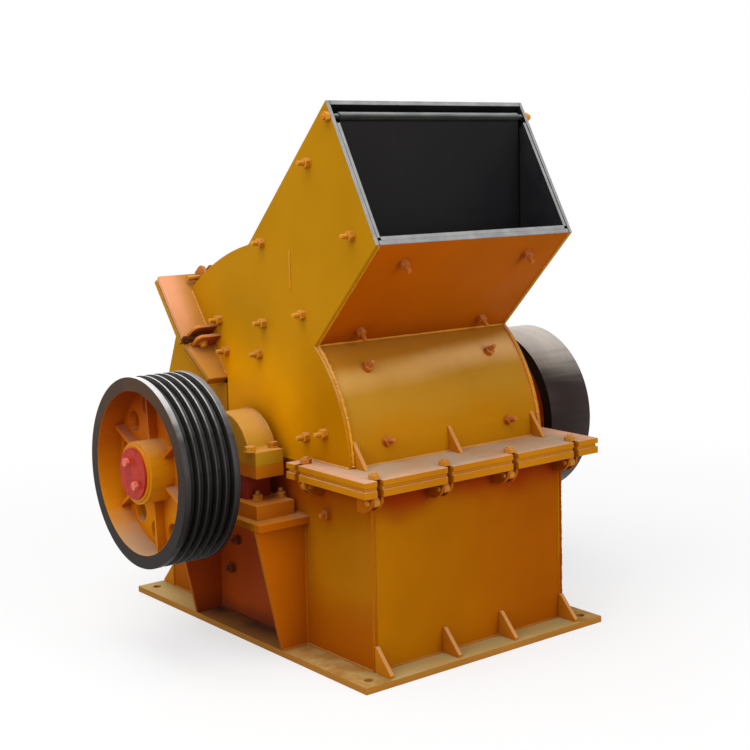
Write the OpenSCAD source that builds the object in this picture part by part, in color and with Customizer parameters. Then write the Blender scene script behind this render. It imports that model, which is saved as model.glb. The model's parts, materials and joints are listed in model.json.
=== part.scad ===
// Single rotor hammer crusher: welded casing split at shaft height, sloping
// feed chute with a rubber curtain, hinged rear cover, and a hammer rotor in
// two plummer blocks with a belt sheave and a flywheel.
// X runs along the shaft to the flywheel, Y to the rear cover, Z up.
// The origin is the centre of the base plate's underside.

/* [Base] */
// Reach of the base plate beside the casing
base_reach_x = 88; // [84:1:150]
// Reach of the base plate in front of and behind the casing
base_reach_y = 80; // [76:1:150]
// Thickness of the base plate
base_t = 18; // [10:1:30]
// Distance of a foundation hole from the plate's side edge
hole_in_x = 42; // [30:1:50]
// Distance of a foundation hole from the plate's end edge
hole_in_y = 47; // [30:1:60]
// Radius of a foundation hole
foundation_r = 13; // [8:0.5:15]
// Height of the stiffening gussets on the base plate
base_gusset_h = 71; // [40:1:100]
// Reach of those gussets from the wall
base_gusset_reach = 69; // [40:1:72]

/* [Casing] */
// Outer width of the lower casing
body_w = 700; // [640:2:720]
// Outer length of the lower casing
body_l = 1066; // [1020:2:1100]
// Thickness of the casing plates
wall_t = 12; // [8:1:16]
// Height of the shaft and of the casing split above the floor
shaft_z = 538; // [500:1:640]
// Side step of the upper casing outside the lower one
upper_step = 6; // [0:1:10]
// Reach of the split flanges beside the casing
flange_reach_x = 79; // [70:1:100]
// Reach of the split flanges in front of and behind the casing
flange_reach_y = 80; // [72:1:100]
// Thickness of the lower split flange
lower_flange_t = 19; // [12:1:25]
// Thickness of the upper split flange
upper_flange_t = 15; // [10:1:25]
// Thickness of the packing between the flanges
packing_t = 10; // [6:1:14]
// Half length of the flange gap that leaves room for a bearing
flange_gap = 251; // [240:1:270]
// Distance of the leftmost front swing bolt outside the casing
first_bolt_out = 28; // [0:1:34]
// Distance of the rightmost front swing bolt inside the casing
last_bolt_in = 11; // [0:1:60]
// Distance of the front swing bolts in front of the casing
bolt_out = 51; // [44:1:56]
// Distance of the side swing bolts beside the casing
side_bolt_out = 46; // [42:1:54]
// Distance of the side swing bolts in front of the shaft
side_bolt_y = 300; // [290:1:330]
// Radius of a swing bolt
bolt_r = 8; // [6:0.5:9]

/* [Feed chute] */
// Distance of the inlet's lower lip in front of the shaft
lip_y = 585; // [560:1:600]
// Height of the inlet's lower lip above the shaft
lip_h = 629; // [560:1:680]
// Length of the inlet measured along its slope
inlet_len = 433; // [380:1:460]
// Slope of the inlet plane from level
inlet_angle = 61; // [55:1:70]
// Slope of the chute plates from level
chute_angle = 45; // [40:1:48]
// Length of the sloping top plate
top_plate_len = 567; // [520:1:600]
// Radius of the rolled crown plate
crown_r = 813; // [600:1:1000]
// Thickness of the wear plates
liner_t = 11; // [6:1:14]
// Radius of the rod that carries the curtain
rod_r = 8; // [6:0.5:9]
// Radius of the pipe that turns on the rod
pipe_r = 12.5; // [11:0.5:14]
// Distance of the rod below the inlet's upper edge, along the inlet plane
rod_drop = 44; // [40:1:70]
// Distance of the rod behind the inlet plane
rod_inset = 11.5; // [11:0.5:20]
// Gap between the rubber curtain's lower edge and the chute's wear plate
curtain_clear = 20.7; // [15:0.1:150]
// Thickness of the rubber curtain
curtain_t = 8; // [5:1:10]

/* [Rear cover] */
// Distance behind the shaft where the sloping joint starts at the top
joint_top_y = 357; // [345:1:370]
// Height above the shaft of the top of the sloping joint
joint_top_h = 458; // [440:1:480]
// Distance behind the shaft of the lower end of the sloping joint
joint_low_y = 161; // [150:1:190]
// Height above the shaft of the lower end of the sloping joint
joint_low_h = 206; // [180:1:230]
// Reach of the joint flange outside the wall
wing_top = 94; // [92:1:110]
// Reach of the joint flange outside the wall at its lower end
wing_low = 63; // [50:1:90]
// Length of the tapering lower part of the joint flange
wing_taper = 126; // [60:1:130]
// Rise of the joint flange above the crown plate
joint_rise = 54; // [50:1:70]
// Thickness of each joint flange
joint_t = 14; // [6:1:16]
// Gap between the joint flanges
joint_gap = 6; // [6:0.5:10]
// Distance of the side clamps below the top of the joint
clamp_drop = 184; // [150:1:190]
// Distance of the top clamps inside the casing's side faces
clamp_in = 56; // [45:1:200]
// Radius of a clamp pin
clamp_pin_r = 8; // [6:0.5:9]
// Length of a clamp bolt from its pin
clamp_bolt_len = 60; // [56:1:80]
// Distance of the rear plate's foot behind the lower casing
rear_foot = 51; // [20:1:60]
// Distance of the hinge pin behind the split flanges
hinge_out = 27; // [24:1:50]
// Depth of the hinge pin below the shaft
hinge_drop = 99; // [98:1:120]
// Radius of the hinge pin
hinge_r = 14; // [8:0.5:16]

/* [Bearings] */
// Width of the pedestal's top plate from the casing wall
pedestal_w = 166; // [150:1:175]
// Depth of the pedestal's top face below the shaft
pedestal_drop = 146; // [130:1:180]
// Thickness of the pedestal's top plate
pedestal_t = 20; // [12:1:26]
// Distance of the front bracket face in front of the shaft
bracket_front = 222; // [210:1:230]
// Distance of the rear bracket face behind the shaft
bracket_rear = 252; // [240:1:256]
// Width of the bearing housing along the shaft
bearing_w = 92; // [70:1:100]
// Gap between the casing wall and the bearing housing
bearing_gap = 30; // [22:1:40]
// Radius of the bearing cap
cap_r = 133; // [100:1:140]
// Half length of the housing's bolting ears
ear_l = 165; // [150:1:175]
// Half length of the bearing's foot
foot_l = 190; // [175:1:205]
// Thickness of the bearing's foot
foot_t = 40; // [25:1:50]

/* [Rotor] */
// Radius of the shaft in the bearings
journal_r = 45; // [35:1:54]
// Step from the shaft's bearing seats up to its middle part
shaft_step = 5; // [2:1:8]
// Radius of the circle that the hammer tips sweep
tip_r = 400; // [360:1:410]
// Gap between the hammer tips and the front wear plate
tip_gap = 27; // [15:1:60]
// Radius of the rotor discs
disc_r = 255; // [230:1:280]
// Thickness of a rotor disc
disc_t = 24; // [15:1:30]
// Distance between rotor discs
disc_pitch = 130; // [110:1:140]
// Number of rotor discs
discs = 5; // [3:1:5]
// Number of hammer rows
rows = 4; // [2:1:6]
// Radius of the circle that carries the hammer pins
pin_circle_r = 200; // [180:1:215]
// Radius of a hammer pin
pin_r = 18; // [12:1:22]
// Radius of the belt sheave
sheave_r = 265; // [220:1:300]
// Width of the belt sheave
sheave_w = 170; // [120:1:200]
// Number of belt grooves
grooves = 5; // [3:1:6]
// Gap between the left bearing and the sheave
sheave_gap = 112; // [60:1:130]
// Radius of the flywheel
flywheel_r = 276; // [240:1:300]
// Width of the flywheel
flywheel_w = 174; // [120:1:200]
// Gap between the right bearing and the flywheel
flywheel_gap = 96; // [60:1:130]

/* [Hidden] */

ochre = "#b07a10";
orange = "#b05a10";
grey = "#9a9a9a";
dark = "#3c3c40";
red = "#b03010";

eps = 0.5;                      // extra length of a cut past a face
fit = 0.05;                     // radial running clearance
seat = 0.3;                     // clearance of pieces that lie loosely together
round_fn = 96;

shaft_r = journal_r + shaft_step;
wall_x = body_w / 2;
wall_y = body_l / 2;
upper_x = wall_x + upper_step;
packing_low = shaft_z - packing_t / 2;
packing_top = shaft_z + packing_t / 2;
lower_flange_z = packing_low - lower_flange_t;
flange_top = packing_top + upper_flange_t;
flange_x = wall_x + flange_reach_x;
flange_y = wall_y + flange_reach_y;
base_x = wall_x + base_reach_x;
base_y = wall_y + base_reach_y;
front_r = tip_r + tip_gap + liner_t + wall_t;        // outside of the curved front plate

// Points of the casing's side view, as [y, z] about the shaft
lip = [-lip_y, lip_h];
inlet_dir = [cos(inlet_angle), sin(inlet_angle)];
inlet_top = lip + inlet_len * inlet_dir;
down = [cos(chute_angle), -sin(chute_angle)];
inward = [sin(chute_angle), cos(chute_angle)];
top_end = inlet_top + top_plate_len * down;
lip_out = lip * inward;
// where the chute's lower plate meets the curved front plate
foot = lip_out * inward - sqrt(front_r * front_r - lip_out * lip_out) * down;
joint_top = [joint_top_y, joint_top_h];
joint_low = [joint_low_y, joint_low_h];
joint_len = norm(joint_top - joint_low);
up_joint = (joint_top - joint_low) / joint_len;      // up the sloping joint
behind = [up_joint[1], -up_joint[0]];                // square to it, to the rear
// centre of the crown plate's bend
crown_chord = joint_top - top_end;
crown_mid = (joint_top + top_end) / 2;
crown_out = [-crown_chord[1], crown_chord[0]] / norm(crown_chord);
crown_centre = crown_mid - sqrt(crown_r * crown_r - crown_chord * crown_chord / 4) * crown_out;

// Places a side view drawn as [y, z] about the shaft between two x values
module side(x0, x1) {
    translate([x0, 0, shaft_z]) rotate([90, 0, 90]) linear_extrude(x1 - x0) children();
}
// Places a shape drawn as [x, u] in the sloping joint, u running up the slope
// from joint_top, between two depths behind the fixed flange's front face
module in_joint(v0, v1) {
    on_joint() mirror([0, 0, 1]) translate([0, 0, v0]) linear_extrude(v1 - v0) children();
}
// The sloping joint's own axes: x across, y up the slope, z out of its front face
module on_joint() {
    translate([0, joint_top[0], shaft_z + joint_top[1]])
        rotate([atan2(up_joint[1], up_joint[0]), 0, 0]) children();
}
module both_sides() {
    children();
    mirror([1, 0, 0]) children();
}
module block(x0, x1, y0, y1, z0, z1) {
    translate([x0, y0, z0]) cube([x1 - x0, y1 - y0, z1 - z0]);
}
// Bar along X with its axis at y, z
module bar_x(x0, x1, y, z, r, fn = round_fn) {
    translate([x0, y, z]) rotate([0, 90, 0]) cylinder(h = x1 - x0, r = r, $fn = fn);
}

// --- base -------------------------------------------------------------

module base_plate() {
    color(orange) difference() {
        block(-base_x, base_x, -base_y, base_y, 0, base_t);
        block(-wall_x + wall_t, wall_x - wall_t, -wall_y + wall_t, wall_y - wall_t, -eps, base_t + eps);
        for (x = [-1, 1], y = [-1, 1])
            translate([x * (base_x - hole_in_x), y * (base_y - hole_in_y), -eps])
                cylinder(h = base_t + 2 * eps, r = foundation_r, $fn = 48);
    }
}
gusset_left_x = -112;
gusset_right_x = 99;
gusset_tip = 8;                  // height of a gusset's outer end
base_gusset_x = [-wall_x, gusset_left_x, gusset_right_x, wall_x - wall_t];
module base_gussets() {
    for (x = base_gusset_x, back = [0, 1]) mirror([0, back, 0])
        translate([x, -wall_y, base_t]) rotate([90, 0, 90]) linear_extrude(wall_t)
            polygon([[0, 0], [0, base_gusset_h], [-gusset_tip, base_gusset_h],
                     [-base_gusset_reach, gusset_tip], [-base_gusset_reach, 0]]);
}

// --- lower casing -------------------------------------------------------

shaft_hole_r = shaft_r + 10;
module lower_wall_end(side) {
    color(orange) mirror([0, side, 0])
        block(-wall_x + wall_t, wall_x - wall_t, -wall_y, -wall_y + wall_t, base_t, packing_low);
}
module lower_end_walls() {
    lower_wall_end(0);
    lower_wall_end(1);
}
module lower_wall_side() {
    color(ochre) difference() {
        block(-wall_x, -wall_x + wall_t, -wall_y, wall_y, base_t, packing_low);
        bar_x(-wall_x - eps, -wall_x + wall_t + eps, 0, shaft_z, shaft_hole_r);
    }
}
module lower_left_wall() { lower_wall_side(); }
module lower_right_wall() { mirror([1, 0, 0]) lower_wall_side(); }

bolt_y = wall_y + bolt_out;
bolt_pitch = (body_w + first_bolt_out - last_bolt_in) / 3;
bolt_x = [for (i = [0:3]) -wall_x - first_bolt_out + i * bolt_pitch];
side_bolt_x = -wall_x - side_bolt_out;
notch_r = bolt_r + 2;
// Open slots for the swing bolts, cut through a flange
module notches(z0, z1) {
    for (x = bolt_x) {
        translate([x, -bolt_y, z0 - eps]) cylinder(h = z1 - z0 + 2 * eps, r = notch_r, $fn = 48);
        block(x - notch_r, x + notch_r, -flange_y - eps, -bolt_y, z0 - eps, z1 + eps);
    }
    both_sides() {
        translate([side_bolt_x, -side_bolt_y, z0 - eps])
            cylinder(h = z1 - z0 + 2 * eps, r = notch_r, $fn = 48);
        block(-flange_x - eps, side_bolt_x, -side_bolt_y - notch_r, -side_bolt_y + notch_r,
              z0 - eps, z1 + eps);
    }
}
// Flange strips round one end of the casing, outside its walls
module flange_end(z0, z1, inner_x, inner_y) {
    difference() {
        block(-flange_x, flange_x, -flange_y, -flange_gap, z0, z1);
        block(-inner_x, inner_x, -inner_y, -flange_gap + eps, z0 - eps, z1 + eps);
    }
}
module lower_flange() {
    color(ochre) {
        difference() {
            flange_end(lower_flange_z, packing_low, wall_x, wall_y);
            notches(lower_flange_z, packing_low);
        }
        mirror([0, 1, 0]) flange_end(lower_flange_z, packing_low, wall_x, wall_y);
    }
}
packing_inset = 5;
rear_packing_t = packing_t / 2;
module packing_ring(z0, z1) {
    inset = packing_inset;
    difference() {
        union() {
            block(-flange_x + inset, flange_x - inset, -flange_y + inset, -flange_gap - inset, z0, z1);
            block(-wall_x, wall_x, -flange_gap - inset - eps, -shaft_hole_r, z0, z1);
        }
        block(-wall_x + wall_t, wall_x - wall_t, -wall_y + wall_t, 0, z0 - eps, z1 + eps);
    }
}
module flange_packing() {
    color(dark) {
        difference() {
            packing_ring(packing_low, packing_top);
            notches(packing_low, packing_top);
        }
        mirror([0, 1, 0]) packing_ring(packing_low, packing_low + rear_packing_t);
    }
}

// Pairs of ears that carry the swing bolts under the flange
ear_t = 9;
eye_half = bolt_r + 1.5;
ear_gap = 2 * eye_half + 2;
ear_bend = 48;                   // radius of an ear's rounded front
ear_over = 17;                   // ear in front of the bolt's axis
lug_pin_r = 7;
lug_pin_z = lower_flange_z - 18;
eye_r = 13;
module ear_pair(out) {
    for (s = [-1, 1]) translate([s * (ear_gap + ear_t) / 2 - ear_t / 2, 0, 0]) difference() {
        rotate([90, 0, 90]) linear_extrude(ear_t) intersection() {
            translate([-out - ear_over, lower_flange_z - ear_bend]) square([out + ear_over, ear_bend]);
            union() {
                translate([-out - ear_over + ear_bend, lower_flange_z]) circle(r = ear_bend, $fn = 96);
                translate([-out - ear_over + ear_bend, lower_flange_z - ear_bend]) square(ear_bend);
            }
        }
        bar_x(-eps, ear_t + eps, -out, lug_pin_z, lug_pin_r + fit, 48);
    }
}
module swing_bolt_lugs() {
    color(orange) {
        for (x = bolt_x) translate([x, -wall_y, 0]) ear_pair(bolt_out);
        both_sides() translate([-wall_x, -side_bolt_y, 0]) rotate([0, 0, -90]) ear_pair(side_bolt_out);
    }
}
// A bolt with an eye on the lug pin and a nut on the upper flange
nut_h = 13;
nut_r = 16;
bolt_end = 5;                    // bolt proud of its nut
module swing_bolt() {
    difference() {
        union() {
            bar_x(-eye_half, eye_half, 0, lug_pin_z, eye_r, 48);
            translate([0, 0, lug_pin_z])
                cylinder(h = flange_top + nut_h + bolt_end - lug_pin_z, r = bolt_r, $fn = 48);
            translate([0, 0, flange_top]) cylinder(h = nut_h, r = nut_r, $fn = 6);
        }
        bar_x(-eye_half - eps, eye_half + eps, 0, lug_pin_z, lug_pin_r + seat, 48);
    }
    bar_x(-ear_gap / 2 - ear_t - 6, ear_gap / 2 + ear_t + 6, 0, lug_pin_z, lug_pin_r, 48);
}
module swing_bolts() {
    color(orange) {
        for (x = bolt_x) translate([x, -bolt_y, 0]) swing_bolt();
        both_sides() translate([side_bolt_x, -side_bolt_y, 0]) rotate([0, 0, -90]) swing_bolt();
    }
}

// --- pedestals and bearings --------------------------------------------

pedestal_top = shaft_z - pedestal_drop;
pedestal_x = wall_x + pedestal_w;
pedestal_front = bracket_front + 22;
pedestal_rear = bracket_rear + 10;
bracket_foot_x = base_x - 1;
module bracket_plate(y) {
    translate([0, y + wall_t, 0]) rotate([90, 0, 0]) linear_extrude(wall_t)
        polygon([[-wall_x, base_t], [-bracket_foot_x, base_t],
                 [-pedestal_x + 2, pedestal_top - pedestal_t], [-wall_x, pedestal_top - pedestal_t]]);
}
module pedestal() {
    color(ochre) {
        block(-pedestal_x, -wall_x, -pedestal_front, pedestal_rear, pedestal_top - pedestal_t, pedestal_top);
        bracket_plate(-bracket_front);
        bracket_plate(bracket_rear - wall_t);
    }
}
module pedestals() { both_sides() pedestal(); }

bearing_in = wall_x + bearing_gap;       // inner face of the bearing housing
bearing_out = bearing_in + bearing_w;
sheave_x = bearing_out + sheave_gap;
flywheel_x = bearing_out + flywheel_gap;
ear_h = 36;
foot_over = 17;
neck_l = 105;
module bearing_base() {
    color(ochre) difference() {
        union() {
            block(-bearing_out - foot_over, -bearing_in + foot_over, -foot_l, foot_l,
                  pedestal_top, pedestal_top + foot_t);
            block(-bearing_out + 6, -bearing_in - 6, -neck_l, neck_l,
                  pedestal_top + foot_t - eps, shaft_z - ear_h + eps);
            block(-bearing_out, -bearing_in, -ear_l, ear_l, shaft_z - ear_h, shaft_z);
        }
        bar_x(-bearing_out - eps, -bearing_in + eps, 0, shaft_z, journal_r + fit);
    }
}
module bearing_cap() {
    color(ochre) difference() {
        union() {
            block(-bearing_out, -bearing_in, -ear_l, ear_l, shaft_z, shaft_z + ear_h + 3);
            bar_x(-bearing_out, -bearing_in, 0, shaft_z, cap_r);
        }
        block(-bearing_out - eps, -bearing_in + eps, -cap_r - eps, cap_r + eps,
              shaft_z - cap_r - eps, shaft_z);
        bar_x(-bearing_out - eps, -bearing_in + eps, 0, shaft_z, journal_r + fit);
    }
}
module bearing_bases() { both_sides() bearing_base(); }
module bearing_caps() { both_sides() bearing_cap(); }

// --- upper casing ------------------------------------------------------

split_h = packing_t / 2;
// Side view of the fixed upper casing: its corners, with the front plate's
// and the crown plate's bends outside them
module upper_outline() {
    polygon([[0, split_h], [joint_low[0], split_h], joint_low, joint_top, top_end, inlet_top, lip, foot,
             [foot[0], split_h]]);
    intersection() {
        circle(r = front_r, $fn = 180);
        translate([-front_r - eps, split_h]) square([front_r, foot[1] - split_h]);
    }
    intersection() {
        translate(crown_centre) circle(r = crown_r, $fn = 360);
        polygon([crown_mid - 3 * wall_t * crown_out, top_end, 2 * top_end - crown_centre,
                 2 * joint_top - crown_centre, joint_top]);
    }
}
module upper_wall() {
    color(ochre) difference() {
        side(-upper_x, -upper_x + wall_t) upper_outline();
        bar_x(-upper_x - eps, -upper_x + wall_t + eps, 0, shaft_z, shaft_hole_r);
        bar_x(-upper_x - eps, -upper_x + wall_t + eps, rod_place[0], rod_z, rod_r + fit, 64);
    }
}
module upper_left_wall() { upper_wall(); }
module upper_right_wall() { mirror([1, 0, 0]) upper_wall(); }
module upper_flange() {
    color(ochre) difference() {
        flange_end(packing_top, flange_top, upper_x, front_r);
        notches(packing_top, flange_top);
    }
}
left_gusset_in = wall_t + 3;     // gussets inside the casing's left and right faces
right_gusset_in = wall_t + 17;
gusset_x = [-upper_x + left_gusset_in, -wall_t / 2, upper_x - right_gusset_in - wall_t];
gusset_foot = front_r + 48;
gusset_top_h = 98;
module upper_gussets() {
    difference() {
        for (x = gusset_x) translate([x, 0, shaft_z]) rotate([90, 0, 90]) linear_extrude(wall_t)
            polygon([[-gusset_foot, flange_top - shaft_z], [-front_r + 8, flange_top - shaft_z],
                     [-front_r + 20, gusset_top_h], [-front_r + 14, gusset_top_h]]);
        bar_x(-upper_x - eps, upper_x + eps, 0, shaft_z, front_r, 180);
    }
}
module gussets() {
    color(orange) {
        base_gussets();
        upper_gussets();
    }
}
inner_x = upper_x - wall_t;
// Curved plate in front of the rotor, from the upper flange to the chute
module curved_band(r_in, r_out, x0, x1, h0, h1) {
    side(x0, x1) intersection() {
        difference() {
            circle(r = r_out, $fn = 180);
            circle(r = r_in, $fn = 180);
        }
        translate([-r_out - 1, h0]) square([r_out + 1, h1 - h0]);
    }
}
module front_plate() {
    color(orange) curved_band(front_r - wall_t, front_r, -inner_x, inner_x, split_h, foot[1]);
}
module front_liner() {
    color(dark) curved_band(front_r - wall_t - liner_t - seat, front_r - wall_t - seat,
                            -inner_x + liner_t + seat, inner_x - liner_t - seat, split_h, liner_top_h);
}
liner_top_h = foot[1] - wall_t - 4;
// A plate lying along the chute: a runs down the slope from the lip, b across it
module along_chute(a0, a1, b0, b1) {
    polygon([lip + a0 * down + b0 * inward, lip + a1 * down + b0 * inward,
             lip + a1 * down + b1 * inward, lip + a0 * down + b1 * inward]);
}
foot_a = (foot - lip) * down;
plate_over = 60;                 // extra length of a plate before its end is trimmed
// Cuts a side view back to the inlet plane
module behind_inlet() {
    past = body_l * inlet_dir;
    back = body_l * [inlet_dir[1], -inlet_dir[0]];
    intersection() {
        children();
        polygon([lip - past, lip + past, lip + past + back, lip - past + back]);
    }
}
module chute_bottom_plate() {
    color(orange) difference() {
        side(-inner_x, inner_x) behind_inlet() along_chute(-plate_over, foot_a + plate_over, 0, wall_t);
        bar_x(-inner_x - eps, inner_x + eps, 0, shaft_z, front_r, 180);
        block(-inner_x - eps, inner_x + eps, -front_r, 0, 0, shaft_z + foot[1]);
    }
}
module chute_liner() {
    color(grey) side(-inner_x + liner_t + seat, inner_x - liner_t - seat)
        behind_inlet() along_chute(-plate_over, foot_a - 14, wall_t + fit, wall_t + fit + liner_t);
}
top_a = (inlet_top - lip) * down;
top_b = (inlet_top - lip) * inward;
module chute_top_plate() {
    color(ochre) side(-inner_x, inner_x)
        behind_inlet() along_chute(top_a - plate_over, top_a + top_plate_len, top_b - wall_t, top_b);
}
// Rolled plate from the chute's top plate to the sloping joint
module crown_plate() {
    color(ochre) difference() {
        side(-inner_x, inner_x) intersection() {
            translate(crown_centre) difference() {
                circle(r = crown_r, $fn = 360);
                circle(r = crown_r - wall_t, $fn = 360);
            }
            polygon([crown_centre, 2 * top_end - crown_centre,
                     joint_top + wall_t * up_joint, joint_top - 3 * wall_t * up_joint]);
        }
        side(-inner_x - eps, inner_x + eps)
            along_chute(top_a, top_a + top_plate_len, top_b - wall_t, top_b);
    }
}
side_liner_under_rod = 24;       // its top corner lies below the middle of the curtain rod
side_liner_len = inlet_len - rod_drop - side_liner_under_rod;
side_liner_in = 8;               // gap to the chute's lower plate
side_liner_foot = (wall_t + side_liner_in) / (inlet_dir * inward);
side_liner_low = 30;             // above the shaft
side_liner_top = top_end - [28, 54];
side_liner_rear = top_end + [112, -114];
// Wear plate on the inside of a side wall, cut short of the curtain rod
module side_liner() {
    color(grey) difference() {
        side(-inner_x, -inner_x + liner_t) polygon([
            lip + side_liner_foot * inlet_dir + down,
            lip + side_liner_len * inlet_dir + down,
            lip + (top_b - wall_t - rod_drop) * inward + plate_over * down,
            side_liner_top, side_liner_rear, [side_liner_rear[0], front_r / 4],
            [-front_r + plate_over, side_liner_low], [-front_r + plate_over, front_r / 4],
            foot + [plate_over, 0]]);
        bar_x(-inner_x - eps, -inner_x + liner_t + eps, 0, shaft_z, shaft_hole_r + 12);
    }
}
module side_liners() { both_sides() side_liner(); }

// --- curtain -------------------------------------------------------------

rod_place = inlet_top - rod_drop * inlet_dir + rod_inset * [inlet_dir[1], -inlet_dir[0]];
rod_z = shaft_z + rod_place[1];
rod_nut_t = 14;
rod_nut_r = 14;
// the curtain ends a little above the wear plate that slopes under it
liner_face = lip + (wall_t + fit + liner_t) * inward;
curtain_low = liner_face[1] - (rod_place[0] - liner_face[0]) * tan(chute_angle) + curtain_clear;
rod_end = upper_x + rod_nut_t + 7;
module curtain_rod() {
    color(grey) bar_x(-rod_end, rod_end, rod_place[0], rod_z, rod_r, 64);
}
module rod_nuts() {
    color(orange) both_sides() difference() {
        bar_x(upper_x + seat, upper_x + seat + rod_nut_t, rod_place[0], rod_z, rod_nut_r, 6);
        bar_x(upper_x, rod_end, rod_place[0], rod_z, rod_r + fit, 64);
    }
}
curtain_gap = 8;                 // beside the curtain
curtain_x = inner_x - liner_t - curtain_gap;
// Pipe that turns on the rod, with the strip that the rubber is bolted to
hanger_t = 5;
hanger_h = 46;
module curtain_hanger() {
    color(grey) difference() {
        union() {
            bar_x(-curtain_x, curtain_x, rod_place[0], rod_z, pipe_r, 64);
            block(-curtain_x + curtain_gap, curtain_x - curtain_gap, rod_place[0], rod_place[0] + hanger_t,
                  rod_z - hanger_h, rod_z - rod_r);
        }
        bar_x(-curtain_x - eps, curtain_x + eps, rod_place[0], rod_z, rod_r + fit, 64);
    }
}
module rubber_curtain() {
    color(dark) block(-curtain_x, curtain_x, rod_place[0] - curtain_t - seat, rod_place[0] - seat,
                      shaft_z + curtain_low, rod_z - pipe_r - seat);
}

// --- rear joint and cover ------------------------------------------------

wing_x = upper_x + wing_top;
wing_foot_x = upper_x + wing_low;
clamp_pin_out = 47;              // side clamp pins outside the wall
clamp_pin_up = 28;               // top clamp pins above the crown plate
clamp_pin_front = 18;            // clamp pins in front of the joint flange
slot_r = clamp_pin_r + 3;
clamp_x = upper_x - clamp_in;
module clamp_slot(x, u, angle) {
    translate([x, u]) rotate(angle) union() {
        circle(r = slot_r, $fn = 48);
        translate([0, -slot_r]) square([2 * wing_top, 2 * slot_r]);
    }
}
// Outline of a joint flange: two wings joined by a bar over the crown plate,
// with open slots for the clamp bolts
module joint_outline() {
    difference() {
        polygon([[-wing_x, joint_rise], [wing_x, joint_rise],
                 [wing_x, -joint_len + wing_taper], [wing_foot_x, -joint_len],
                 [-wing_foot_x, -joint_len], [-wing_x, -joint_len + wing_taper]]);
        translate([-inner_x, -joint_len - eps]) square([2 * inner_x, joint_len + eps - wall_t]);
        clamp_slot(upper_x + clamp_pin_out, -clamp_drop, 0);
        clamp_slot(-upper_x - clamp_pin_out, -clamp_drop, 180);
        clamp_slot(clamp_x, clamp_pin_up, 90);
        clamp_slot(-clamp_x, clamp_pin_up, 90);
    }
}
module joint_flange() {
    color(ochre) in_joint(0, joint_t) joint_outline();
}
clamp_lug_t = 10;
clamp_gap = 2 * clamp_pin_r + 8;
clamp_lug_deep = 52;
clamp_lug_bend = 22;
clamp_lug_over = 31;             // lug beyond its pin
// Places the four clamps: x from the wall or crown plate outward, y along the
// pin, z in front of the joint flange, with the pin's distance from the wall
module side_clamps() {
    both_sides() on_joint() translate([-upper_x, -clamp_drop, 0]) rotate([0, 0, 180]) children();
}
module top_clamps() {
    both_sides() on_joint() translate([-clamp_x, 0, 0]) rotate([0, 0, 90]) children();
}
module clamp_pin_bar(pin_out, r, len, over = 0) {
    translate([pin_out, -len / 2, clamp_pin_front]) rotate([-90, 0, 0])
        cylinder(h = len + over, r = r, $fn = 48);
}
module lug_pair(start, pin_out) {
    long = pin_out + clamp_lug_over - start;
    for (m = [0, 1]) mirror([0, m, 0]) difference() {
        translate([start, clamp_gap / 2 + clamp_lug_t, 0]) rotate([90, 0, 0]) linear_extrude(clamp_lug_t)
            union() {
                square([long, clamp_lug_deep - clamp_lug_bend]);
                square([long - clamp_lug_bend, clamp_lug_deep]);
                translate([long - clamp_lug_bend, clamp_lug_deep - clamp_lug_bend])
                    circle(r = clamp_lug_bend, $fn = 64);
            }
        clamp_pin_bar(pin_out, clamp_pin_r + fit, 4 * clamp_gap);
    }
}
top_lug_start = 8;               // top lugs start above the end of the crown plate
module clamp_lugs() {
    color(orange) {
        side_clamps() lug_pair(0, clamp_pin_out);
        top_clamps() lug_pair(top_lug_start, clamp_pin_up);
    }
}
clamp_eye_r = 15;
clamp_nut_r = 13;
clamp_nut_h = 12;
clamp_pin_end = 9;               // pin proud of each lug
top_pin_over = 36;               // further reach of the top pins
module clamp_pin(pin_out, over) {
    clamp_pin_bar(pin_out, clamp_pin_r, clamp_gap + 2 * clamp_lug_t + 2 * clamp_pin_end, over);
}
module clamp_pins() {
    color(orange) {
        side_clamps() clamp_pin(clamp_pin_out, 0);
        top_clamps() clamp_pin(clamp_pin_up, top_pin_over);
    }
}
// Eye bolt swung off its slot by an angle from the outward direction
module clamp_bolt(pin_out, swing) {
    difference() {
        union() {
            clamp_pin_bar(pin_out, clamp_eye_r, clamp_gap - 6);
            translate([pin_out, 0, clamp_pin_front]) rotate([0, 90 + swing, 0]) {
                cylinder(h = clamp_bolt_len, r = clamp_pin_r - 1, $fn = 48);
                translate([0, 0, clamp_bolt_len - clamp_nut_h - 6])
                    cylinder(h = clamp_nut_h, r = clamp_nut_r, $fn = 6);
            }
        }
        clamp_pin_bar(pin_out, clamp_pin_r + fit, clamp_gap);
    }
}
side_bolt_swing = 12;            // towards the rear, past the flange's edge
top_bolt_swing = -98;            // forward over the crown plate
module clamp_bolts() {
    color(dark) {
        side_clamps() clamp_bolt(clamp_pin_out, side_bolt_swing);
        top_clamps() clamp_bolt(clamp_pin_up, top_bolt_swing);
    }
}
cover_v = joint_t + joint_gap;
cover_front = joint_low[0] + joint_gap;
cover_rise = 22;                 // top of the cover's own plates above joint_top
cover_apex = joint_top + (cover_v + joint_t) * behind + cover_rise * up_joint;
cover_knee = joint_low + (cover_v + joint_t) * behind;
cover_floor = packing_top - shaft_z;
cover_flange_top = cover_floor + upper_flange_t;
rear_low = [wall_y + rear_foot, cover_flange_top];
rear_lean = atan((rear_low[0] - cover_apex[0]) / (cover_apex[1] - cover_flange_top));
rear_inward = [-cos(rear_lean), -sin(rear_lean)];
module cover_sides() {
    color(ochre) both_sides() side(-upper_x, -inner_x)
        polygon([cover_apex, cover_knee, [cover_front, cover_knee[1]], [cover_front, cover_floor],
                 [flange_gap, cover_floor], [flange_gap, cover_flange_top], rear_low]);
}
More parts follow.
